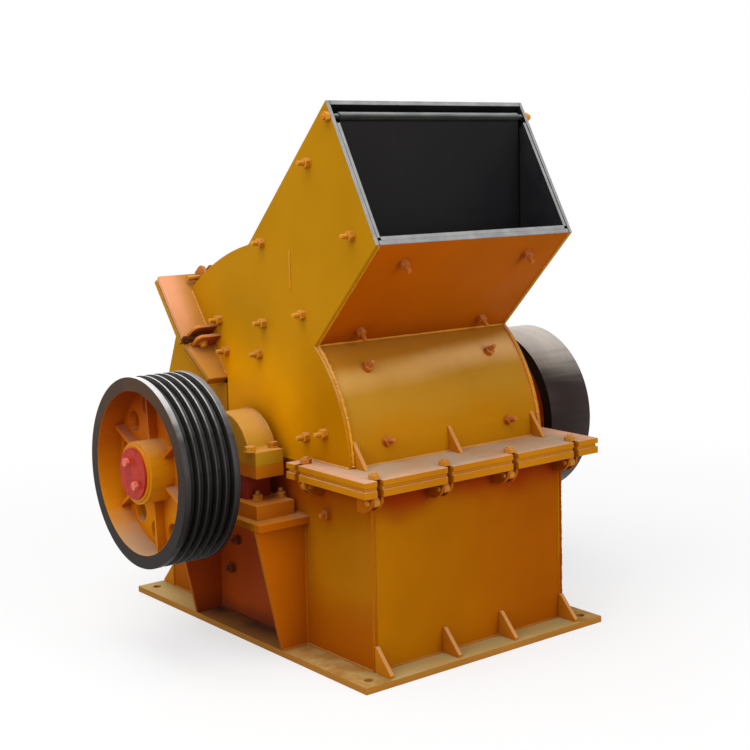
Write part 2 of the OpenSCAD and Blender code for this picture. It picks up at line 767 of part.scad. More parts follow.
module cover_rear_plate() {
    color(ochre) side(-inner_x, inner_x)
        polygon([rear_low, cover_apex, cover_apex - wall_t / abs(up_joint * rear_inward) * up_joint,
                 rear_low - [wall_t / cos(rear_lean), 0]]);
}
module cover_flange() {
    color(ochre) {
        in_joint(cover_v, cover_v + joint_t) joint_outline();
        mirror([0, 1, 0]) difference() {
            flange_end(packing_top, flange_top, wall_x - wall_t, wall_y);
            block(-wall_x, wall_x, -wall_y + wall_t, 0, packing_top - eps, flange_top + eps);
        }
    }
}
arm_x = [-220, 220];
hinge_y = flange_y + hinge_out;
arm_t = 22;
arm_r = 21;
lug_r = 25;
lug_t = 15;
hinge_side_gap = 5;
arm_rear_h = 30;                 // arm above the flange, over the pin and at the cover
arm_front_h = 50;
hinge_z = shaft_z - hinge_drop;
arm_front = flange_y + 6;
arm_foot = rear_low[0] + 4;      // start of an arm on the cover's flange
module cover_hinge_arms() {
    color(orange) for (x = arm_x) difference() {
        translate([x - arm_t / 2, 0, 0]) rotate([90, 0, 90]) linear_extrude(arm_t) union() {
            translate([hinge_y, hinge_z]) circle(r = arm_r, $fn = 64);
            polygon([[arm_front, hinge_z], [hinge_y + arm_r, hinge_z],
                     [hinge_y + arm_r, flange_top + arm_rear_h], [arm_foot, flange_top + arm_front_h],
                     [arm_foot, flange_top], [arm_front, flange_top]]);
        }
        bar_x(x - arm_t, x + arm_t, hinge_y, hinge_z, hinge_r + fit, 64);
    }
}
module hinge_lugs() {
    color(orange) for (x = arm_x, s = [-1, 1]) difference() {
        translate([x + s * (arm_t / 2 + hinge_side_gap + lug_t / 2) - lug_t / 2, 0, 0])
            rotate([90, 0, 90]) linear_extrude(lug_t) union() {
                translate([hinge_y, hinge_z]) circle(r = lug_r, $fn = 64);
                polygon([[wall_y, lower_flange_z], [flange_y - 6, lower_flange_z],
                         [hinge_y, hinge_z + lug_r], [hinge_y, hinge_z - lug_r],
                         [wall_y, hinge_z - 3 * lug_r]]);
            }
        bar_x(x - 2 * arm_r, x + 2 * arm_r, hinge_y, hinge_z, hinge_r + fit, 64);
    }
}
module hinge_pins() {
    pin_half = arm_t / 2 + hinge_side_gap + lug_t + 8;
    color(grey) for (x = arm_x) bar_x(x - pin_half, x + pin_half, hinge_y, hinge_z, hinge_r, 64);
}

// --- rotor ---------------------------------------------------------------

module rotor_shaft() {
    color(grey) {
        bar_x(-wall_x - 10, wall_x + 10, 0, shaft_z, shaft_r);
        bar_x(-sheave_x - sheave_w + 6, flywheel_x + flywheel_w - 6, 0, shaft_z, journal_r);
    }
}
disc_x = [for (i = [0:discs - 1]) (i - (discs - 1) / 2) * disc_pitch];
gap_x = [for (i = [0:discs - 2]) (i - (discs - 2) / 2) * disc_pitch];
pin_angles = [for (i = [0:rows - 1]) 45 + i * 360 / rows];
module pin_holes(x0, x1, r) {
    for (a = pin_angles)
        bar_x(x0, x1, pin_circle_r * cos(a), shaft_z + pin_circle_r * sin(a), r, 48);
}
module rotor_discs() {
    color(dark) for (x = disc_x) difference() {
        bar_x(x - disc_t / 2, x + disc_t / 2, 0, shaft_z, disc_r);
        bar_x(x - disc_t, x + disc_t, 0, shaft_z, shaft_r + fit);
        pin_holes(x - disc_t, x + disc_t, pin_r + fit);
    }
}
pin_end = (discs - 1) / 2 * disc_pitch + disc_t / 2 + 10;
module hammer_pins() {
    color(grey) pin_holes(-pin_end, pin_end, pin_r);
}
hammer_t = disc_pitch - disc_t - 30;
hammer_w = 100;
module hammers() {
    color(dark) for (x = gap_x, a = pin_angles) translate([x, 0, shaft_z]) rotate([a, 0, 0]) difference() {
        intersection() {
            translate([-hammer_t / 2, pin_circle_r - 45, -hammer_w / 2]) cube([hammer_t, tip_r, hammer_w]);
            bar_x(-hammer_t, hammer_t, 0, 0, tip_r, 180);
        }
        bar_x(-hammer_t, hammer_t, pin_circle_r, 0, pin_r + seat, 48);
    }
}
groove_depth = 15;
land = 16;
groove_pitch = (sheave_w - 2 * land) / grooves;
rim_t = 38;
hub_r = 87;
hub_out = 5;                    // the hub stands proud of the rim's outer face
web_t = 20;
web_at = 86;                    // middle of the web from the inner face
web_hole_r = 29;
web_hole_circle = 183;
ribs = 6;                       // with two web holes between neighbours
rib_t = 9;
rib_h = 38;
rib_turn = 55;                  // turn of the first rib about the shaft
// Wheel on the shaft, drawn with its outer face towards +X; the children cut
// its profile, as [radius, distance from the inner face]
module wheel(x, width, r) {
    translate([x, 0, shaft_z]) rotate([0, 90, 0]) difference() {
        union() {
            rotate_extrude($fn = 128) difference() {
                union() {
                    translate([journal_r + fit, 0]) square([r - journal_r - fit, width]);
                    translate([journal_r + fit, 0]) square([hub_r - 8 - journal_r - fit, width + hub_out]);
                }
                translate([hub_r, -eps]) square([r - rim_t - hub_r, web_at - web_t / 2 + eps]);
                translate([hub_r, web_at + web_t / 2]) square([r - rim_t - hub_r, width]);
                children();
            }
            for (i = [0:ribs - 1]) rotate([0, 0, rib_turn + i * 360 / ribs])
                translate([hub_r - 4, -rib_t / 2, web_at]) cube([r - rim_t - hub_r + 8, rib_t, rib_h]);
        }
        for (i = [0:2 * ribs - 1]) rotate([0, 0, rib_turn + (i + 0.5) * 180 / ribs])
            translate([web_hole_circle, 0, -eps]) cylinder(h = width, r = web_hole_r, $fn = 48);
    }
}
module drive_sheave() {
    color(dark) mirror([1, 0, 0]) wheel(sheave_x, sheave_w, sheave_r)
        for (i = [0:grooves - 1]) translate([0, land + (i + 0.5) * groove_pitch])
            polygon([[sheave_r + 1, groove_pitch / 2 - 2], [sheave_r + 1, -groove_pitch / 2 + 2],
                     [sheave_r - groove_depth, -6], [sheave_r - groove_depth, 6]]);
}
module flywheel() {
    color(dark) wheel(flywheel_x, flywheel_w, flywheel_r);
}
end_disc_r = 71;
end_disc_t = 7;
module end_disc(face) {
    bar_x(face + hub_out, face + hub_out + end_disc_t, 0, shaft_z, end_disc_r);
}
module end_discs() {
    color(red) {
        mirror([1, 0, 0]) end_disc(sheave_x + sheave_w);
        end_disc(flywheel_x + flywheel_w);
    }
}

// --- discharge grate -----------------------------------------------------

grate_r = tip_r + 18;
grate_bar_h = 32;
grate_bar_w = 16;
grate_bars = 19;
grate_half = 72;
module discharge_grate() {
    color(dark) for (i = [0:grate_bars - 1])
        translate([0, 0, shaft_z]) rotate([-90 - grate_half + i * 2 * grate_half / (grate_bars - 1), 0, 0])
            translate([-wall_x + wall_t + 2, grate_r, -grate_bar_w / 2])
                cube([2 * (wall_x - wall_t - 2), grate_bar_h, grate_bar_w]);
}
rail_t = 20;
rail_h = 22;
rail_top = 110;                  // ends of the rails below the shaft
rail_r = grate_r + grate_bar_h + seat;
module grate_rails() {
    color(dark) both_sides() side(-wall_x + wall_t, -wall_x + wall_t + rail_t) intersection() {
        difference() {
            circle(r = rail_r + rail_h, $fn = 180);
            circle(r = rail_r, $fn = 180);
        }
        translate([-rail_r - rail_h, -rail_r - rail_h])
            square([2 * (rail_r + rail_h), rail_r + rail_h - rail_top]);
    }
}

base_plate();
gussets();
lower_end_walls();
lower_left_wall();
lower_right_wall();
lower_flange();
flange_packing();
swing_bolt_lugs();
swing_bolts();
pedestals();
bearing_bases();
bearing_caps();
upper_flange();
upper_left_wall();
upper_right_wall();
front_plate();
chute_bottom_plate();
chute_top_plate();
crown_plate();
chute_liner();
side_liners();
front_liner();
joint_flange();
clamp_lugs();
clamp_pins();
clamp_bolts();
discharge_grate();
grate_rails();
hinge_lugs();
hinge_pins();
curtain_rod();
rod_nuts();
curtain_hanger();
rubber_curtain();
cover_sides();
cover_rear_plate();
cover_flange();
cover_hinge_arms();
rotor_shaft();
rotor_discs();
hammer_pins();
hammers();
drive_sheave();
flywheel();
end_discs();
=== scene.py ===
"""Looks of the hammer crusher: paint, weld beads, studs, bolts and the rubber curtain.

Every length is in metres in the CAD model's frame: X along the rotor shaft to
the flywheel, Y to the rear cover, Z up.
"""
import json
import math
import random

import bmesh
import bpy
from mathutils import Matrix, Vector


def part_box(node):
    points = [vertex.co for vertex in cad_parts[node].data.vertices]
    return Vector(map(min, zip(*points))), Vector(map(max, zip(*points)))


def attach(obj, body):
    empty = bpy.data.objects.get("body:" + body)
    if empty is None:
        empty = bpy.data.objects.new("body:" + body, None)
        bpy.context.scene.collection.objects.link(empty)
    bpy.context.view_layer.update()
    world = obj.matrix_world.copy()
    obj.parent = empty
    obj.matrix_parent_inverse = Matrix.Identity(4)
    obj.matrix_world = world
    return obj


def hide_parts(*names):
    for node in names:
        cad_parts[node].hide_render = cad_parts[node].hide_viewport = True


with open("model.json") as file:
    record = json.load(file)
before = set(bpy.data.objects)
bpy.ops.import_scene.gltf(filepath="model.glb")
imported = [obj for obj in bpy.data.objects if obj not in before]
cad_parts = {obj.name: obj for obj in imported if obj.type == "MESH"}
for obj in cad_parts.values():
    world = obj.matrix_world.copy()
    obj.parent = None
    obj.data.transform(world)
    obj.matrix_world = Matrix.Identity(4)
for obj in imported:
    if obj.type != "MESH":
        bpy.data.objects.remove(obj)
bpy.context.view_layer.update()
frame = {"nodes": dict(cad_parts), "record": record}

rng = random.Random(11)
MM = 0.001


# --- places taken from the CAD model -----------------------------------------

def low(node):
    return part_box(node)[0]


def high(node):
    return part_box(node)[1]


SHAFT_Z = (low("rotor_shaft").z + high("rotor_shaft").z) / 2
WALL_X = high("lower_right_wall").x
WALL_Y = high("lower_end_walls").y
UPPER_X = high("upper_right_wall").x
FLANGE_TOP = high("upper_flange").z
FLANGE_LOW = low("lower_flange").z
FLANGE_END = high("upper_flange").y      # the upper flange's rear end beside the casing
BASE_TOP = high("base_plate").z
BASE_X = high("base_plate").x
SEAM_X = low("upper_right_wall").x       # where the casing's plates meet its side walls
FRONT_R = -low("front_plate").y
PEDESTAL_TOP = high("pedestals").z
PEDESTAL_LOW = PEDESTAL_TOP - 20 * MM
PEDESTAL_FRONT = low("pedestals").y
PEDESTAL_REAR = high("pedestals").y
BRACKETS = (PEDESTAL_FRONT + 22 * MM, PEDESTAL_REAR - 10 * MM)    # y of the brackets' outer faces
BRACKET_FOOT_X = BASE_X - 4 * MM
BEARING_W = 92 * MM
RIM = 38 * MM                            # from the wheels' outside to the inside of their rims

inlet = next(m for m in frame["record"]["mounts"] if m["name"] == "feed_inlet")
INLET_MID = Vector(inlet["pos_m"])
INLET_OUT = Vector(inlet["axis"]).normalized()
INLET_UP = Vector((0, INLET_OUT.z, -INLET_OUT.y))
LIP = INLET_MID + INLET_UP * (low("upper_left_wall").y - INLET_MID.y) / INLET_UP.y
INLET_TOP = INLET_MID + INLET_UP * (high("upper_left_wall").z - INLET_MID.z) / INLET_UP.z
CHUTE_DOWN = Vector((0, 1, -1)).normalized()
CHUTE_IN = Vector((0, 1, 1)).normalized()

# ends of the sloping joint between the casing and the rear cover
JOINT_TOP = Vector((0, high("crown_plate").y, SHAFT_Z + 458 * MM))
JOINT_LOW = Vector((0, low("joint_flange").y, SHAFT_Z + 206 * MM))
JOINT_UP = (JOINT_TOP - JOINT_LOW).normalized()
JOINT_FRONT = Vector((0, -JOINT_UP.z, JOINT_UP.y))


def from_shaft(angle, radius, x=0.0):
    """A point at an angle above the forward direction (-Y) about the shaft."""
    a = math.radians(angle)
    return Vector((x, -radius * math.cos(a), SHAFT_Z + radius * math.sin(a)))


# angles at which the curved front plate meets the chute and the flange
lip_out = (LIP - Vector((0, 0, SHAFT_Z))).dot(CHUTE_IN)
foot = CHUTE_IN * lip_out - CHUTE_DOWN * math.sqrt(FRONT_R ** 2 - lip_out ** 2)
FOOT_ANGLE = math.degrees(math.atan2(foot.z, -foot.y))
FLANGE_ANGLE = math.degrees(math.asin((FLANGE_TOP - SHAFT_Z) / FRONT_R))


# --- node materials ----------------------------------------------------------

def srgb(r, g, b):
    """A colour written as it looks on a screen, 0 to 255, as linear values."""
    def linear(c):
        c /= 255
        return c / 12.92 if c <= 0.04045 else ((c + 0.055) / 1.055) ** 2.4
    return (linear(r), linear(g), linear(b), 1.0)


class Shader:
    """A material whose nodes are added by short calls that return sockets."""

    def __init__(self, name):
        self.material = bpy.data.materials.new(name)
        self.material.use_nodes = True
        self.tree = self.material.node_tree
        self.tree.nodes.clear()
        self.coords = self.node("ShaderNodeTexCoord")
        self.place = self.coords.outputs["Object"]
        self.normal = self.coords.outputs["Normal"]

    def node(self, kind, inputs=None, **settings):
        n = self.tree.nodes.new(kind)
        for key, value in settings.items():
            setattr(n, key, value)
        for key, value in (inputs or {}).items():
            if isinstance(value, bpy.types.NodeSocket):
                self.tree.links.new(value, n.inputs[key])
            else:
                n.inputs[key].default_value = value
        return n

    def math(self, operation, a, b=0.0):
        return self.node("ShaderNodeMath", {0: a, 1: b}, operation=operation).outputs[0]

    def axis(self, vector, name):
        return self.node("ShaderNodeSeparateXYZ", {0: vector}).outputs[name]

    def noise(self, scale, detail=3.0, rough=0.55, stretch=(1, 1, 1)):
        place = self.place
        if stretch != (1, 1, 1):
            place = self.node("ShaderNodeMapping", {"Vector": place, "Scale": stretch}).outputs[0]
        n = self.node("ShaderNodeTexNoise",
                      {"Vector": place, "Scale": scale, "Detail": detail, "Roughness": rough})
        return n.outputs["Fac"]

    def step(self, value, start, end, low_out=0.0, high_out=1.0):
        """Goes smoothly from low_out to high_out while value goes from start to end."""
        n = self.node("ShaderNodeMapRange",
                      {"Value": value, "From Min": start, "From Max": end,
                       "To Min": low_out, "To Max": high_out}, interpolation_type="SMOOTHSTEP")
        return n.outputs["Result"]

    def mix(self, amount, a, b, blend="MIX"):
        n = self.node("ShaderNodeMix", {0: amount, 6: a, 7: b}, data_type="RGBA", blend_type=blend)
        return n.outputs[2]

    def bump(self, height, distance, strength=1.0, normal=None):
        inputs = {"Height": height, "Distance": distance, "Strength": strength}
        if normal:
            inputs["Normal"] = normal
        return self.node("ShaderNodeBump", inputs).outputs[0]

    def corners(self, distance):
        """1 in open places, less in corners and under ledges."""
        return self.node("ShaderNodeAmbientOcclusion", {"Distance": distance}, samples=6).outputs["AO"]

    def finish(self, **inputs):
        names = {"colour": "Base Color", "rough": "Roughness", "metal": "Metallic",
                 "normal": "Normal", "specular": "Specular IOR Level"}
        shader = self.node("ShaderNodeBsdfPrincipled", {names[k]: v for k, v in inputs.items()})
        out = self.node("ShaderNodeOutputMaterial")
        self.tree.links.new(shader.outputs[0], out.inputs[0])
        return self.material


PINK_DUST = srgb(216, 174, 148)
GREY_DUST = srgb(178, 163, 142)
# painted shade that the enamels lay into corners and under ledges
CORNER_SHADE_RED = srgb(128, 44, 10)
INSIDE = Vector((0, 0.1, 0.8))          # a point in the middle of the casing


class Paint(Shader):
    """Sprayed machine enamel laid over a base colour."""

    def span(self, axis, start, end):
        """0 to 1 along an axis of the CAD frame, a little cloudy."""
        cloud = self.math("MULTIPLY", self.math("SUBTRACT", self.noise(5, 2), 0.5), 0.12)
        return self.step(self.math("ADD", self.axis(self.place, axis), cloud), start, end)

    def enamel(self, paint, dust=0.75, corner=0.5, lined=False, specular=0.03, grime=0.25,
               pink=PINK_DUST, grey=GREY_DUST):
        """Cloudy colour, redder in corners, with grime and with dust on what faces up.

        The dust is grey near the machine's middle and pink far out. A lined plate also
        has near-black painted shade over worn steel inside and cut steel at the inlet.
        """
        clouds = self.step(self.noise(3.0, 3), 0.3, 0.7, 0.93, 1.06)
        grey_clouds = self.node("ShaderNodeCombineColor", {0: clouds, 1: clouds, 2: clouds})
        paint = self.mix(1.0, paint, grey_clouds.outputs[0], "MULTIPLY")
        # painted shade: red-brown where ambient occlusion finds corners and ledges
        in_shade = self.step(self.corners(0.12), 0.2, 0.9, 1.0, 0.0)
        paint = self.mix(self.math("MULTIPLY", in_shade, corner), paint, CORNER_SHADE_RED)
        specks = self.step(self.noise(95, 3, 0.7), 0.68, 0.74)
        paint = self.mix(self.math("MULTIPLY", specks, grime), paint, srgb(120, 62, 14))
        up = self.step(self.axis(self.normal, "Z"), 0.2, 0.97)
        patches = self.step(self.noise(7, 4, 0.6), 0.25, 0.72, 0.6, 1.0)
        settled = self.math("MULTIPLY", self.math("MULTIPLY", up, patches), dust)
        along = self.math("SUBTRACT", self.math("ABSOLUTE", self.axis(self.place, "Y")), 0.04)
        far = self.math("MAXIMUM", along,
                        self.math("MULTIPLY", self.math("ABSOLUTE", self.axis(self.place, "X")), 1.48))
        edge = self.math("ADD", far, self.math("MULTIPLY", self.noise(8, 3), 0.12))
        paint = self.mix(settled, paint, self.mix(self.step(edge, 0.58, 0.66), grey, pink))
        rough = self.math("ADD", self.step(self.noise(9, 3), 0.3, 0.7, 0.42, 0.54),
                          self.math("MULTIPLY", settled, 0.3))
        if lined:
            paint = self.lining(paint)
        wave = self.bump(self.noise(5, 1), 1.0 * MM)
        skin = self.bump(self.noise(260, 2), 0.12 * MM, 0.6, wave)
        return self.finish(colour=paint, rough=rough, normal=skin, specular=specular)

    def bay(self):
        """1 between the brackets under a bearing."""
        y = self.axis(self.place, "Y")
        front, rear = BRACKETS
        return self.math("MULTIPLY", self.step(y, front + 6 * MM, front + 17 * MM),
                         self.step(y, rear - 2 * MM, rear - 14 * MM))

    def lining(self, paint):
        """Near-black painted shade over worn steel on faces that look into the casing, cut steel on the
        inlet's edges.
        """
        inner = self.node("ShaderNodeVectorMath", {0: self.normal, 1: self.toward_inside()},
                          operation="DOT_PRODUCT").outputs["Value"]
        beside = self.math("ABSOLUTE", self.axis(self.place, "X"))
        between = self.step(beside, SEAM_X + 3 * MM, SEAM_X + 2 * MM)
        inner = self.math("MULTIPLY", self.step(inner, 0.0, 0.02), between)
        paint = self.mix(inner, paint, self.worn())
        return self.mix(self.mouth(), paint, self.cut_edge())

    def toward_inside(self):
        return self.node("ShaderNodeVectorMath", {0: tuple(INSIDE), 1: self.place},
                         operation="SUBTRACT").outputs["Vector"]

    def worn(self):
        # painted shade: near-black steel stands in for the shade inside the casing, mottled by wear
        return self.mix(self.step(self.noise(9, 4), 0.35, 0.7), srgb(22, 22, 25), srgb(30, 29, 31))

    def cut_edge(self):
        marks = self.step(self.noise(16, 4, 0.65), 0.3, 0.7)
        edge = self.mix(marks, srgb(136, 137, 138), srgb(158, 160, 160))
        out = self.math("ABSOLUTE", self.axis(self.place, "X"))
        seam = self.math("ABSOLUTE", self.math("SUBTRACT", out, SEAM_X))
        ragged = self.math("ADD", seam, self.math("MULTIPLY", self.noise(40, 3), 1.2 * MM))
        return self.mix(self.step(ragged, 1.4 * MM, 2.2 * MM), srgb(26, 24, 24), edge)

    def mouth(self):
        """1 on the faces that lie in the inlet's plane."""
        ahead = self.node("ShaderNodeVectorMath", {0: self.place, 1: tuple(INLET_OUT)},
                          operation="DOT_PRODUCT").outputs["Value"]
        plane = INLET_MID.dot(INLET_OUT)
        return self.step(ahead, plane - 1.6 * MM, plane - 0.9 * MM)


def bare_steel():
    """Cut or turned steel with faint rolling marks."""
    m = Shader("bare_steel")
    marks = m.noise(14, 5, 0.65, (1, 5, 5))
    colour = m.mix(m.step(marks, 0.3, 0.7), srgb(130, 130, 134), srgb(190, 190, 194))
    rust = m.step(m.noise(34, 4, 0.7), 0.6, 0.75)
    colour = m.mix(m.math("MULTIPLY", rust, 0.3), colour, srgb(112, 78, 52))
    return m.finish(colour=colour, rough=m.step(marks, 0.2, 0.8, 0.4, 0.65), metal=0.35,
                    normal=m.bump(marks, 0.2 * MM))


def rod_material():
    """Dull pipe and rod, painted shade below and a painted highlight on top, orange where the rod's ends
    stick out.
    """
    m = Shader("rod_steel")
    marks = m.step(m.noise(12, 4, 0.6, (1, 4, 4)), 0.3, 0.7)
    colour = m.mix(marks, srgb(30, 30, 26), srgb(44, 44, 38))
    # painted highlight on faces that look up, painted shade on the rest
    up = m.step(m.axis(m.normal, "Z"), 0.0, 0.8)
    colour = m.mix(up, colour, m.mix(marks, srgb(112, 118, 116), srgb(140, 144, 142)))
    ends = m.step(m.math("ABSOLUTE", m.axis(m.place, "X")), UPPER_X - 1 * MM, UPPER_X + 1 * MM)
    return m.finish(colour=m.mix(ends, colour, srgb(206, 128, 32)), rough=0.5, specular=0.12,
                    normal=m.bump(marks, 0.2 * MM))


def cast_iron(name, colour, specular=0.2):
    """Dark cast steel with a grainy skin."""
    m = Shader(name)
    grain = m.noise(140, 4, 0.7)
    patches = m.noise(9, 3)
    shade = m.mix(m.step(patches, 0.3, 0.7), colour, tuple(c * 1.5 for c in colour[:3]) + (1,))
    return m.finish(colour=shade, rough=m.step(patches, 0.3, 0.7, 0.5, 0.7), specular=specular,
                    normal=m.bump(grain, 0.5 * MM))


def upper_wall_paint():
    m = Paint("upper_wall_enamel")
    # painted light: lighter gold low down towards the rear, where the sheave shades the wall
    low_down = m.mix(m.span("Y", -0.34, -0.1), srgb(188, 121, 0), srgb(240, 164, 2))
    paint = m.mix(m.span("Z", 0.72, 0.95), low_down, srgb(194, 136, 12))
    paint = m.mix(m.span("Z", 1.0, 1.25), paint, srgb(187, 133, 10))
    return m.enamel(paint, lined=True, corner=0.35)


def front_wall_paint():
    m = Paint("front_wall_enamel")
    paint = m.mix(m.span("X", -0.34, 0.34), srgb(180, 111, 0), srgb(166, 86, 0))
    # painted shadow of the flange: red-brown towards the top of the wall
    paint = m.mix(m.span("Z", 0.39, 0.49), paint, srgb(148, 50, 0))
    return m.enamel(paint, corner=0.3, lined=True)


def plain_paint(name, colour, **settings):
    m = Paint(name)
    other = tuple(c * f for c, f in zip(colour[:3], (1.06, 1.14, 1.3))) + (1,)
    paint = m.mix(m.step(m.noise(3.6, 3), 0.35, 0.68), colour, other)
    return m.enamel(paint, **settings)


def chute_plate_paint():
    m = Paint("chute_enamel")
    # painted light: lighter towards the left end (-X)
    paint = m.mix(m.span("X", -0.36, 0.1), srgb(194, 96, 2), srgb(180, 94, 6))
    return m.enamel(paint, lined=True)


def curved_plate_paint():
    """Golden below, painted shade in brown under the chute, with a leaning band of painted sky reflection
    between.
    """
    m = Paint("curved_plate_enamel")
    paint = m.mix(m.span("Z", 0.62, 0.74), srgb(182, 120, 6), srgb(180, 129, 32))
    x = m.axis(m.place, "X")
    cloud = m.math("MULTIPLY", m.math("SUBTRACT", m.noise(6, 3), 0.5), 0.04)
    leaning = m.math("ADD", m.math("ADD", m.axis(m.place, "Z"), m.math("MULTIPLY", x, -0.06)), cloud)
    # painted shade: brown under the chute
    paint = m.mix(m.step(leaning, 0.80, 0.85), paint, srgb(166, 106, 18))
    # painted sky reflection: a pale leaning band
    sky_sheen = m.math("MULTIPLY", m.step(leaning, 0.75, 0.80), m.step(leaning, 0.845, 0.805))
    sky_sheen = m.math("MULTIPLY", sky_sheen, m.step(x, -0.25, 0.3, 0.3, 0.75))
    paint = m.mix(sky_sheen, paint, srgb(232, 184, 122))
    cloudy_x = m.math("ADD", x, m.math("MULTIPLY", m.noise(12, 3), 0.03))
    red_edge = m.step(cloudy_x, SEAM_X - 4 * MM, SEAM_X + 26 * MM)
    paint = m.mix(m.math("MULTIPLY", red_edge, 0.7), paint, srgb(206, 112, 74))
    return m.enamel(paint, lined=True, corner=0.2, dust=0.04)


def wing_paint():
    """The joint flange: a pink painted sky reflection at the top and outside, golden by the wall."""
    m = Paint("joint_enamel")
    cloud = m.math("MULTIPLY", m.math("SUBTRACT", m.noise(7, 3), 0.5), 0.05)
    out = m.math("ADD", m.math("ABSOLUTE", m.axis(m.place, "X")), cloud)
    # painted sky reflection: pink high up and further out from the wall
    high_up = m.step(m.axis(m.place, "Z"), 0.74, 1.0)
    pink_sheen = m.math("MULTIPLY", m.step(out, UPPER_X + 8 * MM, UPPER_X + 66 * MM, 0.1, 1.0), high_up)
    paint = m.mix(pink_sheen, srgb(200, 140, 44), srgb(242, 170, 126))
    return m.enamel(paint, corner=0.3, dust=0.12)


def lower_wall_paint():
    """Orange sides of the lower casing, painted shade in red-brown between the brackets, at their foot and
    under the flange, and painted light on the brackets' outer faces.
    """
    m = Paint("lower_enamel")
    golden = m.math("MULTIPLY", m.span("Z", 0.1, 0.25), m.span("Z", 0.45, 0.36))
    paint = m.mix(golden, srgb(168, 88, 2), srgb(172, 108, 6))
    y = m.axis(m.place, "Y")
    front, rear = BRACKETS
    # painted light: lighter orange on the brackets' outer faces
    outside = m.math("MAXIMUM", m.step(y, front + 5 * MM, front + 1 * MM),
                     m.step(y, rear - 5 * MM, rear - 1 * MM))
    beyond = m.step(m.math("ABSOLUTE", m.axis(m.place, "X")), WALL_X, WALL_X + 1 * MM)
    lit_bracket_faces = m.math("MULTIPLY", outside, beyond)
    paint = m.mix(lit_bracket_faces, paint, srgb(192, 102, 4))
    # painted shade: red-brown in the bay under the bearing, dark brown at its foot
    under = m.step(m.axis(m.place, "Z"), PEDESTAL_LOW + 4 * MM, PEDESTAL_LOW - 4 * MM)
    bay = m.math("MULTIPLY", m.bay(), under)
    paint = m.mix(bay, paint, m.mix(m.noise(4, 2), srgb(166, 60, 26), srgb(184, 88, 26)))
    foot_shade = m.math("MULTIPLY", bay, m.span("Z", BASE_TOP + 70 * MM, BASE_TOP))
    paint = m.mix(m.math("MULTIPLY", foot_shade, 0.6), paint, srgb(66, 44, 40))
    # painted shadow under the flange
    under_flange_shadow = m.math("MULTIPLY", m.span("Z", 0.42, 0.50), 0.7)
    paint = m.mix(under_flange_shadow, paint, srgb(160, 62, 4))
    return m.enamel(paint, corner=0.45, dust=0.6, pink=srgb(198, 138, 66), lined=True)


def base_plate_paint():
    """Beige dust over orange, browner beside the casing, black-brown painted shade in the bays."""
    m = Paint("base_enamel")
    beside = m.math("ABSOLUTE", m.axis(m.place, "X"))
    bay = m.bay()
    # painted shade: black-brown by the wall in the bays, reddish-brown further out
    bay_shade = m.mix(m.step(beside, WALL_X + 15 * MM, WALL_X + 90 * MM),
                     srgb(66, 52, 48), srgb(150, 102, 64))
    strip = m.math("MULTIPLY", m.step(beside, WALL_X - 6 * MM, WALL_X + 6 * MM),
                   m.step(m.axis(m.place, "Y"), 0.25, 0.2))
    strip = m.math("MULTIPLY", strip, m.step(m.noise(14, 4, 0.65), 0.36, 0.62, 0.2, 0.9))
    grey = m.mix(bay, m.mix(strip, srgb(166, 152, 102), srgb(146, 106, 50)), bay_shade)
    pink = m.mix(bay, m.mix(strip, srgb(192, 168, 112), srgb(160, 112, 54)), bay_shade)
    return m.enamel(srgb(192, 138, 56), dust=0.9, pink=pink, grey=grey)


def casing_weld_paint():
    m = Paint("weld_orange")
    low_down = m.step(m.axis(m.place, "Z"), BASE_TOP + 40 * MM, BASE_TOP + 10 * MM)
    # painted shade: the beads and their dust turn dark brown at the foot of the bays
    bay_foot_shade = m.math("MULTIPLY", m.bay(), low_down)
    paint = m.mix(m.step(m.axis(m.place, "X"), 0.2, 0.33), srgb(172, 98, 8), srgb(150, 76, 2))
    paint = m.mix(bay_foot_shade, paint, srgb(92, 50, 30))
    return m.enamel(paint, corner=0.5, grime=0.6, dust=0.4,
                    pink=m.mix(bay_foot_shade, srgb(174, 138, 84), srgb(80, 60, 50)),
                    grey=m.mix(bay_foot_shade, srgb(158, 138, 90), srgb(80, 60, 50)))


def bearing_base_paint():
    m = Paint("bearing_base_enamel")
    z = m.axis(m.place, "Z")
    # painted shade: dark red-brown on the neck between the foot and the cap's ears
    neck_shade = m.math("MULTIPLY", m.step(z, PEDESTAL_TOP + 40.5 * MM, PEDESTAL_TOP + 43 * MM),
                  m.step(z, SHAFT_Z - 34 * MM, SHAFT_Z - 37 * MM))
    paint = m.mix(m.span("Z", 0.44, 0.50), srgb(204, 118, 16), srgb(204, 122, 10))
    return m.enamel(m.mix(neck_shade, paint, srgb(142, 50, 26)), dust=0.5, corner=0.3, specular=0.1,
                    pink=srgb(196, 134, 66))


upper_paint = upper_wall_paint()
front_wall = front_wall_paint()
curved_paint = curved_plate_paint()
joint_paint = wing_paint()
chute_paint = chute_plate_paint()
roof_paint = plain_paint("roof_enamel", srgb(192, 136, 14), lined=True, dust=0.6)
side_paint = plain_paint("side_enamel", srgb(190, 130, 8), lined=True)
lower_paint = lower_wall_paint()
weld_orange = casing_weld_paint()
gusset_paint = plain_paint("gusset_enamel", srgb(196, 122, 18), dust=0.5)
flange_paint = plain_paint("flange_enamel", srgb(190, 118, 12), dust=0.95)
base_paint = base_plate_paint()
bearing_base = bearing_base_paint()
bearing_paint = plain_paint("bearing_enamel", srgb(192, 141, 22), dust=0.6, corner=0.35, specular=0.1,
                            pink=srgb(230, 172, 106))
fitting_paint = plain_paint("fitting_enamel", srgb(214, 142, 28), dust=0.35, specular=0.12, corner=0.6)
# painted shade: a darker orange for the swing bolts' lugs under the flange
shaded_paint = plain_paint("shaded_enamel", srgb(176, 94, 10), dust=0.3, corner=0.6)
